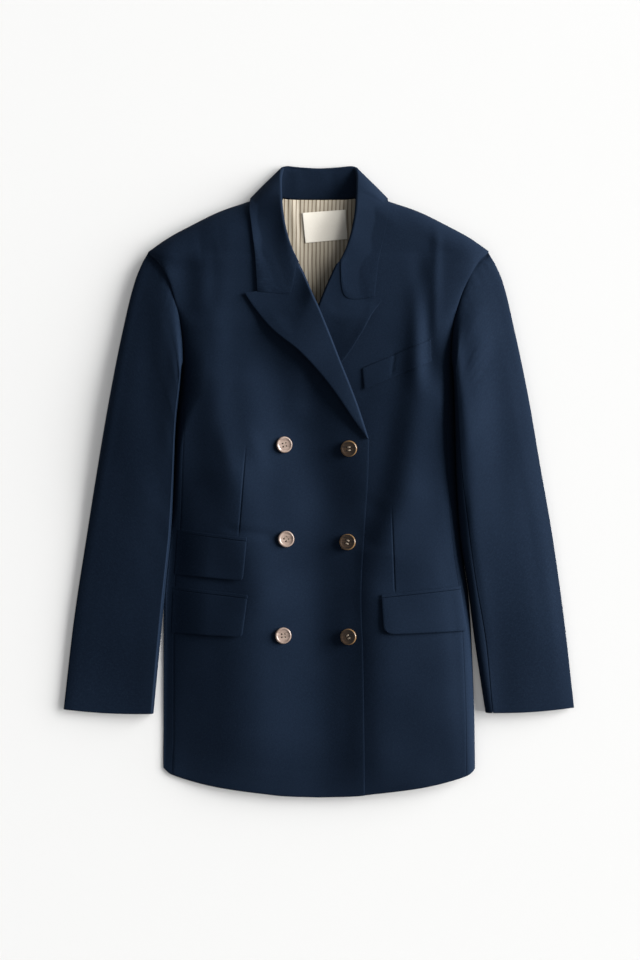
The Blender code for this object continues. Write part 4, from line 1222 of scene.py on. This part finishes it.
collar_centre = collar_surface()
COLLAR_LENGTH, COLLAR_DEPTH = 560.0, 84.0


def make_collar():
    def grain(u, v):
        return place(v * COLLAR_LENGTH, u * COLLAR_DEPTH)

    across = stops((0, 0.3, 14), (0.3, 0.4, 10), (0.4, 0.96, 26), (0.96, 1, 4))
    along = stops((0, 0.03, 4), (0.03, 0.28, 64), (0.28, 0.72, 150), (0.72, 0.97, 64),
                  (0.97, 1, 4))
    return wall_of("collar", lambda u, v: collar_centre(2 * v - 1, u), across, along,
                   proud=CLOTH / 2, grain=grain)


collar = make_collar()
print(collar.name, len(collar.data.polygons), "faces")

# %% [markdown]
# ## The lapels
#
# A lapel is the upper end of the front, turned back at the roll line and faced. It ends in the
# gorge seam beside the collar and in a peak that points to the shoulder. The roll is pressed
# softly and not flat, so the lapels stand off the fronts at their outer edges and throw a
# shadow there: the right one most at its middle, the left one nearer to its peak.

# %% Sizes of the lapels
LAPEL_EDGE = {
    RIGHT: table("v x y", (
        (0.0, 61.4, 57.4), (0.14, 45.0, 81.0), (0.35, 13.0, 127.0), (0.58, -24.7, 169.0),
        (0.76, -60.5, 198.3), (0.88, -80.0, 221.0), (1.0, -96.4, 245.2),
    )),
    LEFT: table("v x y", (
        (0.0, -62.4, 57.4), (0.14, -45.0, 81.0), (0.35, -10.0, 119.0), (0.58, 30.0, 156.0),
        (0.76, 55.9, 194.4), (0.88, 69.0, 218.0), (1.0, 82.0, 235.4),
    )),
}
LAPEL_HOVER = {                # how far its outer edge and its roll stand off the front
    RIGHT: table("v edge roll", (
        (0.0, 0.4, 0.4), (0.25, 6.6, 4.4), (0.5, 8.6, 6.6),
        (0.75, 4.4, 2.6), (0.9, 0.9, 1.8), (1.0, 0.3, 2.0),
    )),
    LEFT: table("v edge roll", (
        (0.0, 0.3, 0.4), (0.25, 3.0, 0.3), (0.5, 7.0, 0.2),
        (0.75, 8.4, 0.2), (0.9, 5.0, 0.6), (1.0, 1.2, 1.6),
    )),
}
PEAK_RUN = 90.0            # turns a share of the length into a distance from the peak's edge
LAPEL_ROLL = 2.6
ROLL_SLANT = 0.94          # the roll line leans, so its distance is less than that along x
LAPEL_FOOT_Y, FOOT_FREE_V = 57.0, 0.06
LAPEL_BOW = {RIGHT: 0.4, LEFT: -1.6}
LAPEL_EASE = 1.0           # softens where a lapel comes to rest, square millimetres
LAPEL_CLEAR = 0.5          # least distance between a lapel and the front under it
GORGE_TUCK = 2.2           # the lapel's top goes this far under the collar's end
ROLL_RISE = 5.0            # and further up at the roll
TUCK_FROM_V = 0.96         # the roll's end is drawn there from here on
TUCK_ENDS, TUCK_FADE, RISE_FADE = 1.02, 12.0, 6.0      # shares of the top edge beside the collar
CHANGE = 12.0              # how fast the roll's depth changes along the lapel
PEAK_FADE = 8.0
ROLL_FROM_V, ROLL_DEPTH = 0.9, 2.2      # from here up the roll is only this deep
GORGE_FROM = 0.62          # from this share of its length the lapel is drawn to the gorge
GORGE_STEP = {RIGHT: 0.3, LEFT: 0.8}    # the collar's end stands this much above the lapel
GORGE_RUN = 30.0           # from here up the lapel comes level with the collar
GORGE_DROP = 0.9           # then it dips under the collar's end
NOTCH = 0.84               # share of the top edge from the roll to the notch
GORGE_SAMPLES, COLLAR_SAMPLES = 90, 60


def gorge(side, u):
    """The lapel's top edge: beside the collar's end to the notch, then out to the peak."""
    row = collar_row(COLLAR_ROWS, side)
    roll, fall, edge = (np.array(row[i:i + 2]) for i in (3, 6, 9))
    peak = np.array([LAPEL_EDGE[side][axis][-1] for axis in "xy"])

    def on_edge(t):
        return weighted(t, roll, fall, edge, END_CORNER[side])

    def beside(t):
        along = unit(on_edge(np.minimum(t + STEP, 1.0)) - on_edge(np.maximum(t - STEP, 0.0)))
        tuck = GORGE_TUCK * smooth((TUCK_ENDS - t) * TUCK_FADE)
        rise = place(np.zeros_like(t[..., 0]), ROLL_RISE * smooth(1 - t[..., 0] * RISE_FADE))
        return on_edge(t) + side * tuck * place(-along[..., 1], along[..., 0]) + rise

    u = np.asarray(u, float)[..., None]
    notch = beside(np.ones_like(u))
    to_peak = notch + (peak - notch) * (u - NOTCH) / (1 - NOTCH)
    return np.where(u <= NOTCH, beside(np.minimum(u / NOTCH, 1.0)), to_peak)


# %% Make the lapels
def make_lapel(side):
    roll = roll_line[side]
    base = right_front_top if side == RIGHT else body_top
    edge_x, edge_y = columns(LAPEL_EDGE[side])
    hover, roll_lift = columns(LAPEL_HOVER[side])
    corner = gorge(side, ZERO)[0]
    tucked = corner - (float(roll(corner[1])), corner[1])

    def start(v):
        y = LAPEL_FOOT_Y + (corner[1] - LAPEL_FOOT_Y) * v
        at_top = smooth((v - TUCK_FROM_V) / (1 - TUCK_FROM_V))
        return place(roll(y), y) + tucked * at_top[..., None]

    def end(v):
        return place(edge_x(v), edge_y(v))

    def plan(u, v):
        """Straight from the roll to the outer edge, and drawn to the gorge at the top."""
        a = u[..., None]
        straight = start(v) * (1 - a) + end(v) * a
        drawn = gorge(side, u) - (start(ONE) * (1 - a) + end(ONE) * a)
        return straight + drawn * smooth((v - GORGE_FROM) / (1 - GORGE_FROM))[..., None]

    shares = np.linspace(0, 1, COLLAR_SAMPLES)
    collar_end = collar_centre(np.full(COLLAR_SAMPLES, float(side)),
                               FALL_SHARE + (1 - FALL_SHARE) * shares)[:, 2] + CLOTH / 2
    line_u = np.linspace(0, NOTCH, GORGE_SAMPLES)
    gorge_line = gorge(side, line_u)
    line_height = np.interp(line_u / NOTCH, shares, collar_end) - GORGE_STEP[side]

    def to_gorge(x, y):
        """Distance to the gorge seam and the collar's height at its nearest point."""
        gap = np.hypot(x[..., None] - gorge_line[:, 0], y[..., None] - gorge_line[:, 1])
        return gap.min(axis=-1), line_height[gap.argmin(axis=-1)]

    def own_height(u, v):
        """A lapel spans straight from its roll to its outer edge and rests on what is under it."""
        at_roll = base(*apart(start(v))) + roll_lift(v)
        at_edge = base(*apart(end(v))) + hover(v)
        bow = LAPEL_BOW[side] * np.sin(math.pi * u)
        return at_roll + (at_edge - at_roll) * u + bow + REST_GAP + LAPEL_CLOTH

    def surface(u, v):
        x, y = apart(plan(u, v))
        from_edge = span_between(start, end, v) * (1 - u)
        from_peak = pressed((1 - v) * PEAK_RUN) * smooth((u - NOTCH) * PEAK_FADE)
        front = base(x, y)
        own, least = own_height(u, v), front + LAPEL_CLOTH + LAPEL_CLEAR
        full = (own + least + np.sqrt((own - least) ** 2 + LAPEL_EASE)) / 2
        full = full + pressed(from_edge) + from_peak
        gap, level = to_gorge(x, y)
        level = level - GORGE_DROP * smooth(1 - gap / GORGE_TUCK)
        full = full + (level - full) * smooth(1 - gap / GORGE_RUN)
        sunk = (CLOTH + 2 * REST_GAP) * smooth((v - FOOT_FREE_V) * CHANGE)
        low_z = front + 2 * REST_GAP - sunk
        low_z = low_z + (full - ROLL_DEPTH - low_z) * smooth((v - ROLL_FROM_V) * CHANGE)
        from_roll = np.abs(x - roll(y)) * ROLL_SLANT
        return place(x, y, low_z + (full - low_z) * bulge(from_roll / LAPEL_ROLL))

    across = stops((0, 0.02, 5), (0.02, 0.08, 8), (0.08, NOTCH, 34), (NOTCH, 0.97, 8),
                   (0.97, 1, 4))
    along = stops((0, 0.06, 8), (0.06, 0.96, 96), (0.96, 1, 14))
    return wall_of("lapel_" + SIDES[side], surface, across, along, wall=LAPEL_CLOTH,
                   outward=side)


for piece in map(make_lapel, SIDES):
    print(piece.name, len(piece.data.polygons), "faces")

# %% [markdown]
# ## Pockets
#
# A flap is cut, lined, turned and pressed, so its edge is thick and its lower corner towards the
# middle is round. Above it run two narrow jets, the folded strips that bind the pocket's mouth;
# the flap comes out between them. The breast welt is a single strip that closes its own mouth.
# All of them lie on the front's surface, moved out along its slope.

# %% Pieces laid on a panel
FADED, FADE_REACH = 0.06, 46.0     # the right flaps end pressed flat beside the side seam
PATCH_WIDTH, PATCH_DEPTH = 90.0, 50.0   # turn shares into distances from a patch's edges
CORNER_DEPTH = 1.6                 # a corner's round reaches this much further up than along


def laid_on(base, lift, step=0.5):
    """A surface parallel to base(x, y), lifted off it along its slope."""
    def spot(x, y):
        slope_x = (base(x + step, y) - base(x - step, y)) / (2 * step)
        slope_y = (base(x, y + step) - base(x, y - step)) / (2 * step)
        normal = unit(place(-slope_x, -slope_y, np.ones_like(x)))
        return place(x, y, base(x, y)) + normal * np.asarray(lift)[..., None]
    return spot


def four_sided(corners):
    """Plan patch between lower left, lower right, upper right and upper left corners."""
    a, b, c, d = (np.array(corner, float) for corner in corners)

    def plan(u, v):
        s, t = u[..., None], v[..., None]
        return (1 - t) * ((1 - s) * a + s * b) + t * ((1 - s) * d + s * c)
    return plan


def rounded_corner(plan, corner_u, reach):
    """The patch with its lower corner at u = 0 or 1 drawn in to a quarter round."""
    def rounded(u, v):
        away = u if corner_u == 0 else 1 - u
        near_u = np.clip(1 - away / reach, 0.0, 1.0)
        near_v = np.clip(1 - v / (reach * CORNER_DEPTH), 0.0, 1.0)
        pull = 1 - np.sqrt(np.maximum(1 - np.minimum(near_u, near_v) ** 2 / 2, 0.0))
        shift_u = pull * near_u * reach
        shift_v = pull * near_v * reach * CORNER_DEPTH
        return plan(u + (shift_u if corner_u == 0 else -shift_u), v + shift_v)
    return rounded


def make_patch(name, plan, base, across, rows, wall=CLOTH, gap=REST_GAP, droop=0.0,
               edge_drop=0.0, fades=False):
    """A small flat piece on a panel. droop lifts its lower edge clear of the panel."""
    def surface(u, v):
        edge = np.minimum(np.minimum(u, 1 - u) * PATCH_WIDTH, v * PATCH_DEPTH)
        lift = wall + gap + droop * (1 - v) - edge_drop * (1 - bulge(edge / EDGE_REACH))
        if fades:
            lift = lift * (FADED + (1 - FADED) * smooth(u * PATCH_WIDTH / FADE_REACH))
        return laid_on(base, lift)(*apart(plan(u, v)))
    return wall_of(name, surface, across, rows, wall=wall)


# %% Make the pockets
FLAPS = {
    "flap_left": ((84.0, -196.0), (190.0, -192.0), (183.0, -138.6), (80.6, -149.4)),
    "flap_right": ((-193.0, -196.0), (-99.0, -200.0), (-92.4, -150.4), (-191.0, -140.0)),
    "ticket_flap_right": ((-189.0, -119.6), (-98.0, -127.6), (-93.6, -76.4), (-185.0, -65.6)),
}
JET_HEIGHT = 4.6
JET_WALL = 1.2
BREAST_WELT = ((58.5, 120.3), (145.6, 156.7), (145.0, 185.3), (55.9, 147.6))
FLAP_GAP, JET_GAP, WELT_GAP = 0.8, 0.8, 0.2
FLAP_DROOP, WELT_DROOP = 1.4, 0.8       # how far the lower edge stands off
FLAP_EDGE, WELT_EDGE = 0.5, 0.3         # how much thinner the edges are pressed
CORNER_REACH = {RIGHT: 0.07, LEFT: 0.15}

pockets = []
for name, corners in FLAPS.items():
    side = LEFT if name.endswith("left") else RIGHT
    on_right, base = side == RIGHT, FACES[side]
    upper_right, upper_left = np.array(corners[2]), np.array(corners[3])
    across = stops((0, 0.04, 5), (0.04, 0.72, 30), (0.72, 1, 22))
    if on_right:
        across = 1 - across[::-1]
    rows = stops((0, 0.06, 5), (0.06, 1, 26))
    flap = rounded_corner(four_sided(corners), 1 if on_right else 0, CORNER_REACH[side])
    pockets.append(make_patch(name, flap, base, across, rows, gap=FLAP_GAP, droop=FLAP_DROOP,
                              edge_drop=FLAP_EDGE, fades=on_right))
    gap, height = np.array([0, 0.5]), np.array([0, JET_HEIGHT])
    jet = (upper_left + gap, upper_right + gap, upper_right + height, upper_left + height)
    pockets.append(make_patch(name.replace("flap", "jet"), four_sided(jet), base, across,
                              even(10), wall=JET_WALL, gap=JET_GAP, fades=on_right))
welt = make_patch("breast_welt", four_sided(BREAST_WELT), left_face, even(48),
                  stops((0, 0.1, 4), (0.1, 0.9, 14), (0.9, 1, 4)),
                  wall=JET_WALL, gap=WELT_GAP, droop=WELT_DROOP, edge_drop=WELT_EDGE)
print(len(pockets), "pocket pieces and", welt.name)

# %% [markdown]
# ## Lining and label
#
# The back is lined with a striped sateen. In the neck it shows with small waves, since a lining
# is cut wider than the back so that it never pulls. The label is a blank satin patch.

# %% Make the lining and the label
LABEL = ((-17.8, 312.7), (37.3, 317.9), (34.6, 355.9), (-21.6, 351.7))
LINING_LOW_Y = 196.0
LINING_GAP, LABEL_GAP = 1.0, 0.6
LINING_SHORT = 0.6         # the lining ends this far below the shoulder line
LINING_WAVES = table("x0 y0 x1 y1 half_width depth", (
    (-38, 392, -30, 300, 4.0, 0.9),
    (-28, 388, -24, 318, 3.0, -0.5),
    (44, 390, 40, 300, 3.6, 0.8),
    (12, 300, 18, 236, 6.0, 0.8),
    (-8, 306, -14, 240, 5.0, -0.6),
    (33, 372, 20, 300, 4.4, -0.5),
    (-4, 380, -2, 356, 3.0, 0.5),
))


def lining_base(x, y):
    return body_bottom(x, y) + CLOTH + np.maximum(creases(LINING_WAVES, x, y), -0.6)


def make_lining():
    half_width = curve((0, 104.0), (0.55, 101.0), (0.85, 58.0), (1, 47.0))
    base = laid_on(lining_base, LINING_CLOTH + LINING_GAP)

    def surface(u, v):
        x = (2 * u - 1) * half_width(v)
        y = LINING_LOW_Y + (shoulder_line(x) - LINING_SHORT - LINING_LOW_Y) * v
        return base(x, y)

    return wall_of("lining_back", surface, even(90), stops((0, 0.75, 46), (0.75, 1, 30)),
                   wall=LINING_CLOTH)


def lining_top(x, y):
    return lining_base(x, y) + LINING_CLOTH + LINING_GAP


lining = make_lining()
label = make_patch("label", four_sided(LABEL), lining_top, even(40), even(28),
                   wall=LINING_CLOTH, gap=LABEL_GAP)
print(lining.name, "and", label.name)

# %% [markdown]
# ## Buttons
#
# Six four-hole buttons turned from horn: a flat back, a rounded rim and a dished middle. We spin
# the half section, drill the holes with a Boolean, and sew the button on with turns of thread
# through each pair of holes: one turn on the pale buttons and three on the dark ones.

# %% Turn a button
BUTTON_RADIUS = 10.6
BUTTON_HEIGHT = 3.6
BUTTON_HOLE_RADIUS = 1.1
BUTTON_HOLE_SPACING = 2.1
BUTTON_GAP = 0.7
BUTTON_SECTION = (             # distance in from the rim, and height
    (BUTTON_RADIUS, 0.0), (1.6, 0.0), (0.5, 0.5), (0.0, 1.5), (0.1, 2.4), (0.6, 3.25),
    (1.3, 3.6), (2.0, 3.5), (2.8, 2.9), (4.0, 2.6), (BUTTON_RADIUS, 2.45),
)
BUTTON_SIDES, HOLE_SIDES = 72, 20
HOLES = [(i * BUTTON_HOLE_SPACING, j * BUTTON_HOLE_SPACING) for i in (-1, 1) for j in (-1, 1)]
DRILL_LENGTH = 20.0
BUTTONS = {                    # place on the front, and how far each is turned
    "button_right_upper": (-45.5, 49.0, 12.0),
    "button_right_middle": (-42.9, -73.4, 38.0),
    "button_right_lower": (-46.6, -198.2, 5.0),
    "button_left_upper": (39.0, 44.1, 3.0),
    "button_left_middle": (37.2, -77.4, -16.0),
    "button_left_lower": (38.4, -199.6, 27.0),
}


def button_mesh():
    build = bmesh.new()
    ring = [build.verts.new(((BUTTON_RADIUS - inward) * MM, 0, z * MM))
            for inward, z in BUTTON_SECTION]
    edges = [build.edges.new(pair) for pair in zip(ring, ring[1:])]
    bmesh.ops.spin(build, geom=ring + edges, axis=(0, 0, 1), cent=(0, 0, 0),
                   angle=2 * math.pi, steps=BUTTON_SIDES, use_merge=True)
    bmesh.ops.remove_doubles(build, verts=build.verts[:], dist=1e-5)
    bmesh.ops.recalc_face_normals(build, faces=build.faces[:])
    turned = build.loops.layers.uv.new("turned")
    for face in build.faces:
        for loop in face.loops:
            out = math.hypot(loop.vert.co.x, loop.vert.co.y) / MM / BUTTON_RADIUS
            loop[turned].uv = (out, loop.vert.co.z / MM / BUTTON_HEIGHT)
    drill = bmesh.new()
    radius = BUTTON_HOLE_RADIUS * MM
    for x, y in HOLES:
        cone = bmesh.ops.create_cone(drill, cap_ends=True, segments=HOLE_SIDES,
                                     radius1=radius, radius2=radius, depth=DRILL_LENGTH * MM)
        bmesh.ops.translate(drill, verts=cone["verts"], vec=(x * MM, y * MM, 0))
    blank = new_object("button_blank", to_mesh("button_disc", build))
    cutter = new_object("button_cutter", to_mesh("button_holes", drill))
    cut = blank.modifiers.new("holes", "BOOLEAN")
    cut.object = cutter
    cut.operation = "DIFFERENCE"
    bpy.context.view_layer.update()
    shown = blank.evaluated_get(bpy.context.evaluated_depsgraph_get())
    drilled = bpy.data.meshes.new_from_object(shown)
    for item in (blank, cutter):
        bpy.data.objects.remove(item, do_unlink=True)
    return drilled


shared_button = button_mesh()
print("a button has", len(shared_button.polygons), "faces")


# %% Sew the buttons on
THREAD_RADIUS = 0.32
THREAD_SIDES, STITCH_STEPS = 8, 11
STITCH_RISE, STITCH_DIVE = 0.45, 1.2
STITCH_PAST = 0.35         # a stitch goes down this far past the middle of its hole
STRAND_PITCH = 1.7
STRANDS = {"right": 1, "left": 3}


def stitch(build, start, end):
    """One stitch of round thread that rises from start and sinks again at end, millimetres."""
    start, end = np.array(start, float), np.array(end, float)
    run = end - start
    sideways = unit(np.array([-run[1], run[0], 0.0]))
    ring = bmesh.ops.create_circle(build, segments=THREAD_SIDES, radius=THREAD_RADIUS * MM,
                                   cap_ends=True)
    shares = np.linspace(0, 1, STITCH_STEPS)
    arch = np.sin(math.pi * shares)
    heights = STITCH_RISE * arch ** 0.5 - STITCH_DIVE * (1 - arch ** 0.3)
    path = start + shares[:, None] * run + heights[:, None] * np.array([0, 0, 1.0])
    for vert in ring["verts"]:
        vert.co = Vector((path[0] + sideways * vert.co.x / MM + (0, 0, vert.co.y / MM)) * MM)
    face = ring["verts"][0].link_faces[0]
    for before, after in zip(path, path[1:]):
        face = bmesh.ops.extrude_discrete_faces(build, faces=[face])["faces"][0]
        bmesh.ops.translate(build, verts=face.verts[:], vec=Vector((after - before) * MM))


def thread_mesh(strands):
    """Turns of thread through both pairs of holes."""
    build = bmesh.new()
    reach, floor_z = BUTTON_HOLE_SPACING + STITCH_PAST, BUTTON_HEIGHT - 1.1
    for j in (-1, 1):
        for strand in range(strands):
            beside = (strand - (strands - 1) / 2) * THREAD_RADIUS * STRAND_PITCH
            y = j * BUTTON_HOLE_SPACING + beside
            stitch(build, (-reach, y, floor_z), (reach, y, floor_z))
    return build


buttons = []
for name, (x, y, turn) in BUTTONS.items():
    at = np.array([[x, y]])
    spot = laid_on(right_face, BUTTON_GAP)(at[:, 0], at[:, 1])[0]
    slope = laid_on(right_face, BUTTON_GAP + 1)(at[:, 0], at[:, 1])[0] - spot
    tilt = Euler((-math.atan2(slope[1], slope[2]), math.atan2(slope[0], slope[2]), 0))
    fitting = Matrix.Translation(Vector(spot * MM)) @ tilt.to_matrix().to_4x4()
    twist = Matrix.Rotation(math.radians(turn), 4, "Z")
    build = bmesh.new()
    build.from_mesh(shared_button)
    bmesh.ops.transform(build, matrix=fitting @ twist, verts=build.verts[:])
    button = to_object("horn_" + name, build)
    threads = thread_mesh(STRANDS[name.split("_")[1]])
    bmesh.ops.transform(threads, matrix=fitting @ twist, verts=threads.verts[:])
    bmesh.ops.recalc_face_normals(threads, faces=threads.faces[:])
    sewing = to_object("thread_" + name, threads)
    buttons.append((button, sewing, name))
print(len(buttons), "buttons sewn on")

# %% [markdown]
# ## Finishes of the lining, the label, the horn and the thread
#
# The lining is woven with narrow brown stripes in a cream ground, and sateen floats give it a
# soft sheen. The label is plain satin with fine cross ribs. Horn has cloudy streaks that run
# across the button, and a polished coat. The dark buttons are amber where the rim is thin.

# %% Lining and label
CREAM = (0.415, 0.368, 0.290, 1)
CREAM_SHADE = (0.345, 0.300, 0.228, 1)
STRIPE_BROWN = (0.105, 0.070, 0.036, 1)
STRIPE_PITCH, STRIPE_SHARE = 0.0052, 0.30
STRIPE_SWAY = 0.0022       # how far a stripe wanders, metres


def striped_lining():
    finish = Finish("sateen_stripes", Roughness=0.42, Sheen_Weight=0.1)
    weave = finish.layout()
    sway = finish.streaks(weave, (6, 22, 1))
    in_stripe = ((finish.part(weave) + sway * STRIPE_SWAY) / STRIPE_PITCH).fraction() - 0.5
    half = STRIPE_SHARE / 2
    line = 1 - (in_stripe * in_stripe).between(half ** 2 * 0.45, half ** 2 * 1.5)
    warp = finish.streaks(weave, (3200, 160, 1))
    worn = finish.streaks(weave, (420, 60, 1), 2.0)
    strength = (line * (0.62 + worn * 0.5)).limited()
    ground = finish.mixed(warp.between(0.3, 0.7) * 0.25, CREAM, CREAM_SHADE)
    colour = finish.mixed(strength, ground, STRIPE_BROWN)
    return finish.done(colour, 0.36 + warp * 0.16, warp + line * 0.3, 0.00012, 0.4)


def label_satin():
    finish = Finish("blank_satin", Roughness=0.36, Sheen_Weight=0.08)
    weave = finish.layout()
    warp = finish.streaks(weave, (2400, 300, 1), 2.0)
    cloud = finish.noise(weave, 30.0, 2.0)
    light, middle, dark = (0.80, 0.76, 0.68, 1), (0.70, 0.65, 0.56, 1), (0.62, 0.57, 0.49, 1)
    colour = finish.mixed(warp.between(0.3, 0.7) * 0.5, light, middle)
    colour = finish.mixed(cloud.between(0.4, 0.7) * 0.2, colour, dark)
    return finish.done(colour, 0.30 + warp * 0.18, warp, 0.00012, 0.35)


# %% Horn and thread
def horn(name, light, dark, streak, rough, rim=None):
    finish = Finish(name, Coat_Weight=0.45, Coat_Roughness=0.18)
    spot = finish.place()
    streaks = finish.streaks(spot, (90, 420, 200), 4.0, 0.6, turn=0.5)
    veins = finish.streaks(spot, (60, 900, 300), 3.0, turn=0.42)
    colour = finish.mixed(streaks.between(0.36, 0.64), dark, light)
    colour = finish.mixed(veins.between(0.56, 0.74) * 0.5, colour, streak)
    if rim:
        out = finish.part(finish.layout("turned"))
        colour = finish.mixed(out.between(0.86, 0.95) * 0.75, colour, rim)
    return finish.done(colour, rough + streaks * 0.14, streaks, 0.00008, 0.25)


def thread_finish(name, light, dark):
    finish = Finish(name, Roughness=0.6, Sheen_Weight=0.2)
    twist = finish.streaks(finish.place(), (2600, 900, 900), turn=0.6)
    colour = finish.mixed(twist.between(0.35, 0.65), dark, light)
    return finish.done(colour, None, twist, 0.00008, 0.5)


finishes = {
    "navy_wool": wool,
    "striped_lining": striped_lining(),
    "label_satin": label_satin(),
    "pale_horn": horn("polished_pale_horn", (0.40, 0.30, 0.25, 1), (0.24, 0.17, 0.14, 1),
                      (0.50, 0.40, 0.33, 1), 0.30),
    "dark_horn": horn("polished_dark_horn", (0.060, 0.033, 0.017, 1), (0.016, 0.010, 0.007, 1),
                      (0.14, 0.075, 0.035, 1), 0.22, rim=(0.30, 0.175, 0.075, 1)),
    "pale_thread": thread_finish("pale_thread", (0.46, 0.38, 0.29, 1), (0.27, 0.21, 0.155, 1)),
}
print("finishes:", ", ".join(finishes))

# %% [markdown]
# ## Each piece in place of its solid
#
# Each shell replaces the solid of the same name, rides on the one body and takes the finish of its
# slot.

# %% The floor
FLOOR_HALF = 3.0
build = bmesh.new()
bmesh.ops.create_grid(build, x_segments=1, y_segments=1, size=FLOOR_HALF)
floor = new_object("floor", to_mesh("floor", build))
PAINTED_FLOOR_GLOW = 0.05          # painted light: the floor paper glows a little, which lightens the shadows on it
# Painted light: the paper's white emission brightens the floor and its shadows, with no lamp below
# it.
paper = Finish("floor_paper", Roughness=0.9, Emission_Strength=PAINTED_FLOOR_GLOW)
paper.shader.inputs["Emission Color"].default_value = (1, 1, 1, 1)
grey = paper.noise(paper.place(), 3.0)
paper.feed("Base Color", paper.mixed(grey, (0.700, 0.700, 0.698, 1), (0.704, 0.704, 0.702, 1)))
floor.data.materials.append(paper.material)

for piece in made:
    name = piece.name.removeprefix("cloth_")
    slot = {"lining_back": "striped_lining", "label": "label_satin"}.get(name, "navy_wool")
    piece.data.materials.append(finishes[slot])
    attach(piece, "root")
    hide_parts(name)

for button, sewing, name in buttons:
    slot = "pale_horn" if "right" in name else "dark_horn"
    button.data.materials.append(finishes[slot])
    sewing.data.materials.append(finishes["pale_thread"])
    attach(button, "root")
    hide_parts(name)
    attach(sewing, "root")
print("declared", len(made), "sheets and", len(buttons), "buttons")

# %% [markdown]
# ## Light and camera
#
# A flat lay on white is lit by a big soft light from the side and by a white room around it. The
# light stands low, to the right, so every fold has a bright and a dark side. As a studio does
# with flags, each light is kept to what it is for: the key to the blazer, two to the table, and
# one to the lining and its label. The camera hangs straight above, far enough to flatten it.

# %% Lights
LIGHTS = (         # name, place, what it points at, side of its square, energy, what it lights
    ("key", (37.0, 10.0, 11.7), (0, 0, 0), 24.0, 48000.0, blazer.objects),
    ("table light", (30.0, 7.9, 11.6), (0, 0, 0), 35.5, 36600.0, [floor]),
    ("table fill", (-4.0, 0.0, 20.0), (0, 0, 0), 30.0, 1440.0, [floor]),
    ("neck", (21.0, 4.0, 23.0), (0, 0.3, 0), 20.0, 10400.0, [lining, label]),
)
DAYLIGHT = (1.0, 0.995, 0.985)
ROOM_STRENGTH = 0.22

for name, position, target, size, energy, items in LIGHTS:
    data = bpy.data.lights.new(name, "AREA")
    data.shape = "RECTANGLE"
    data.size = data.size_y = size
    data.energy, data.color = energy, DAYLIGHT
    light = new_object(name, data)
    light.location = position
    aim = Vector(target) - Vector(position)
    light.rotation_euler = aim.to_track_quat("-Z", "Y").to_euler()
    lit = bpy.data.collections.new("lit by the " + name)
    for item in items:
        lit.objects.link(item)
    light.light_linking.receiver_collection = lit
print("lights:", len(LIGHTS))

room = bpy.data.worlds.new("room")
room.use_nodes = True
background = room.node_tree.nodes["Background"].inputs
background["Color"].default_value = (0.97, 0.985, 1.0, 1)
background["Strength"].default_value = ROOM_STRENGTH
scene.world = room
scene.view_settings.view_transform = "Standard"

# %% Camera
FOCAL_LENGTH, CAMERA_PLACE = 86.0, (0.0013, 0.00325, 3.0)
lens = bpy.data.cameras.new("overhead")
lens.lens = FOCAL_LENGTH
camera = new_object("overhead", lens)
camera.location = CAMERA_PLACE
scene.camera = camera
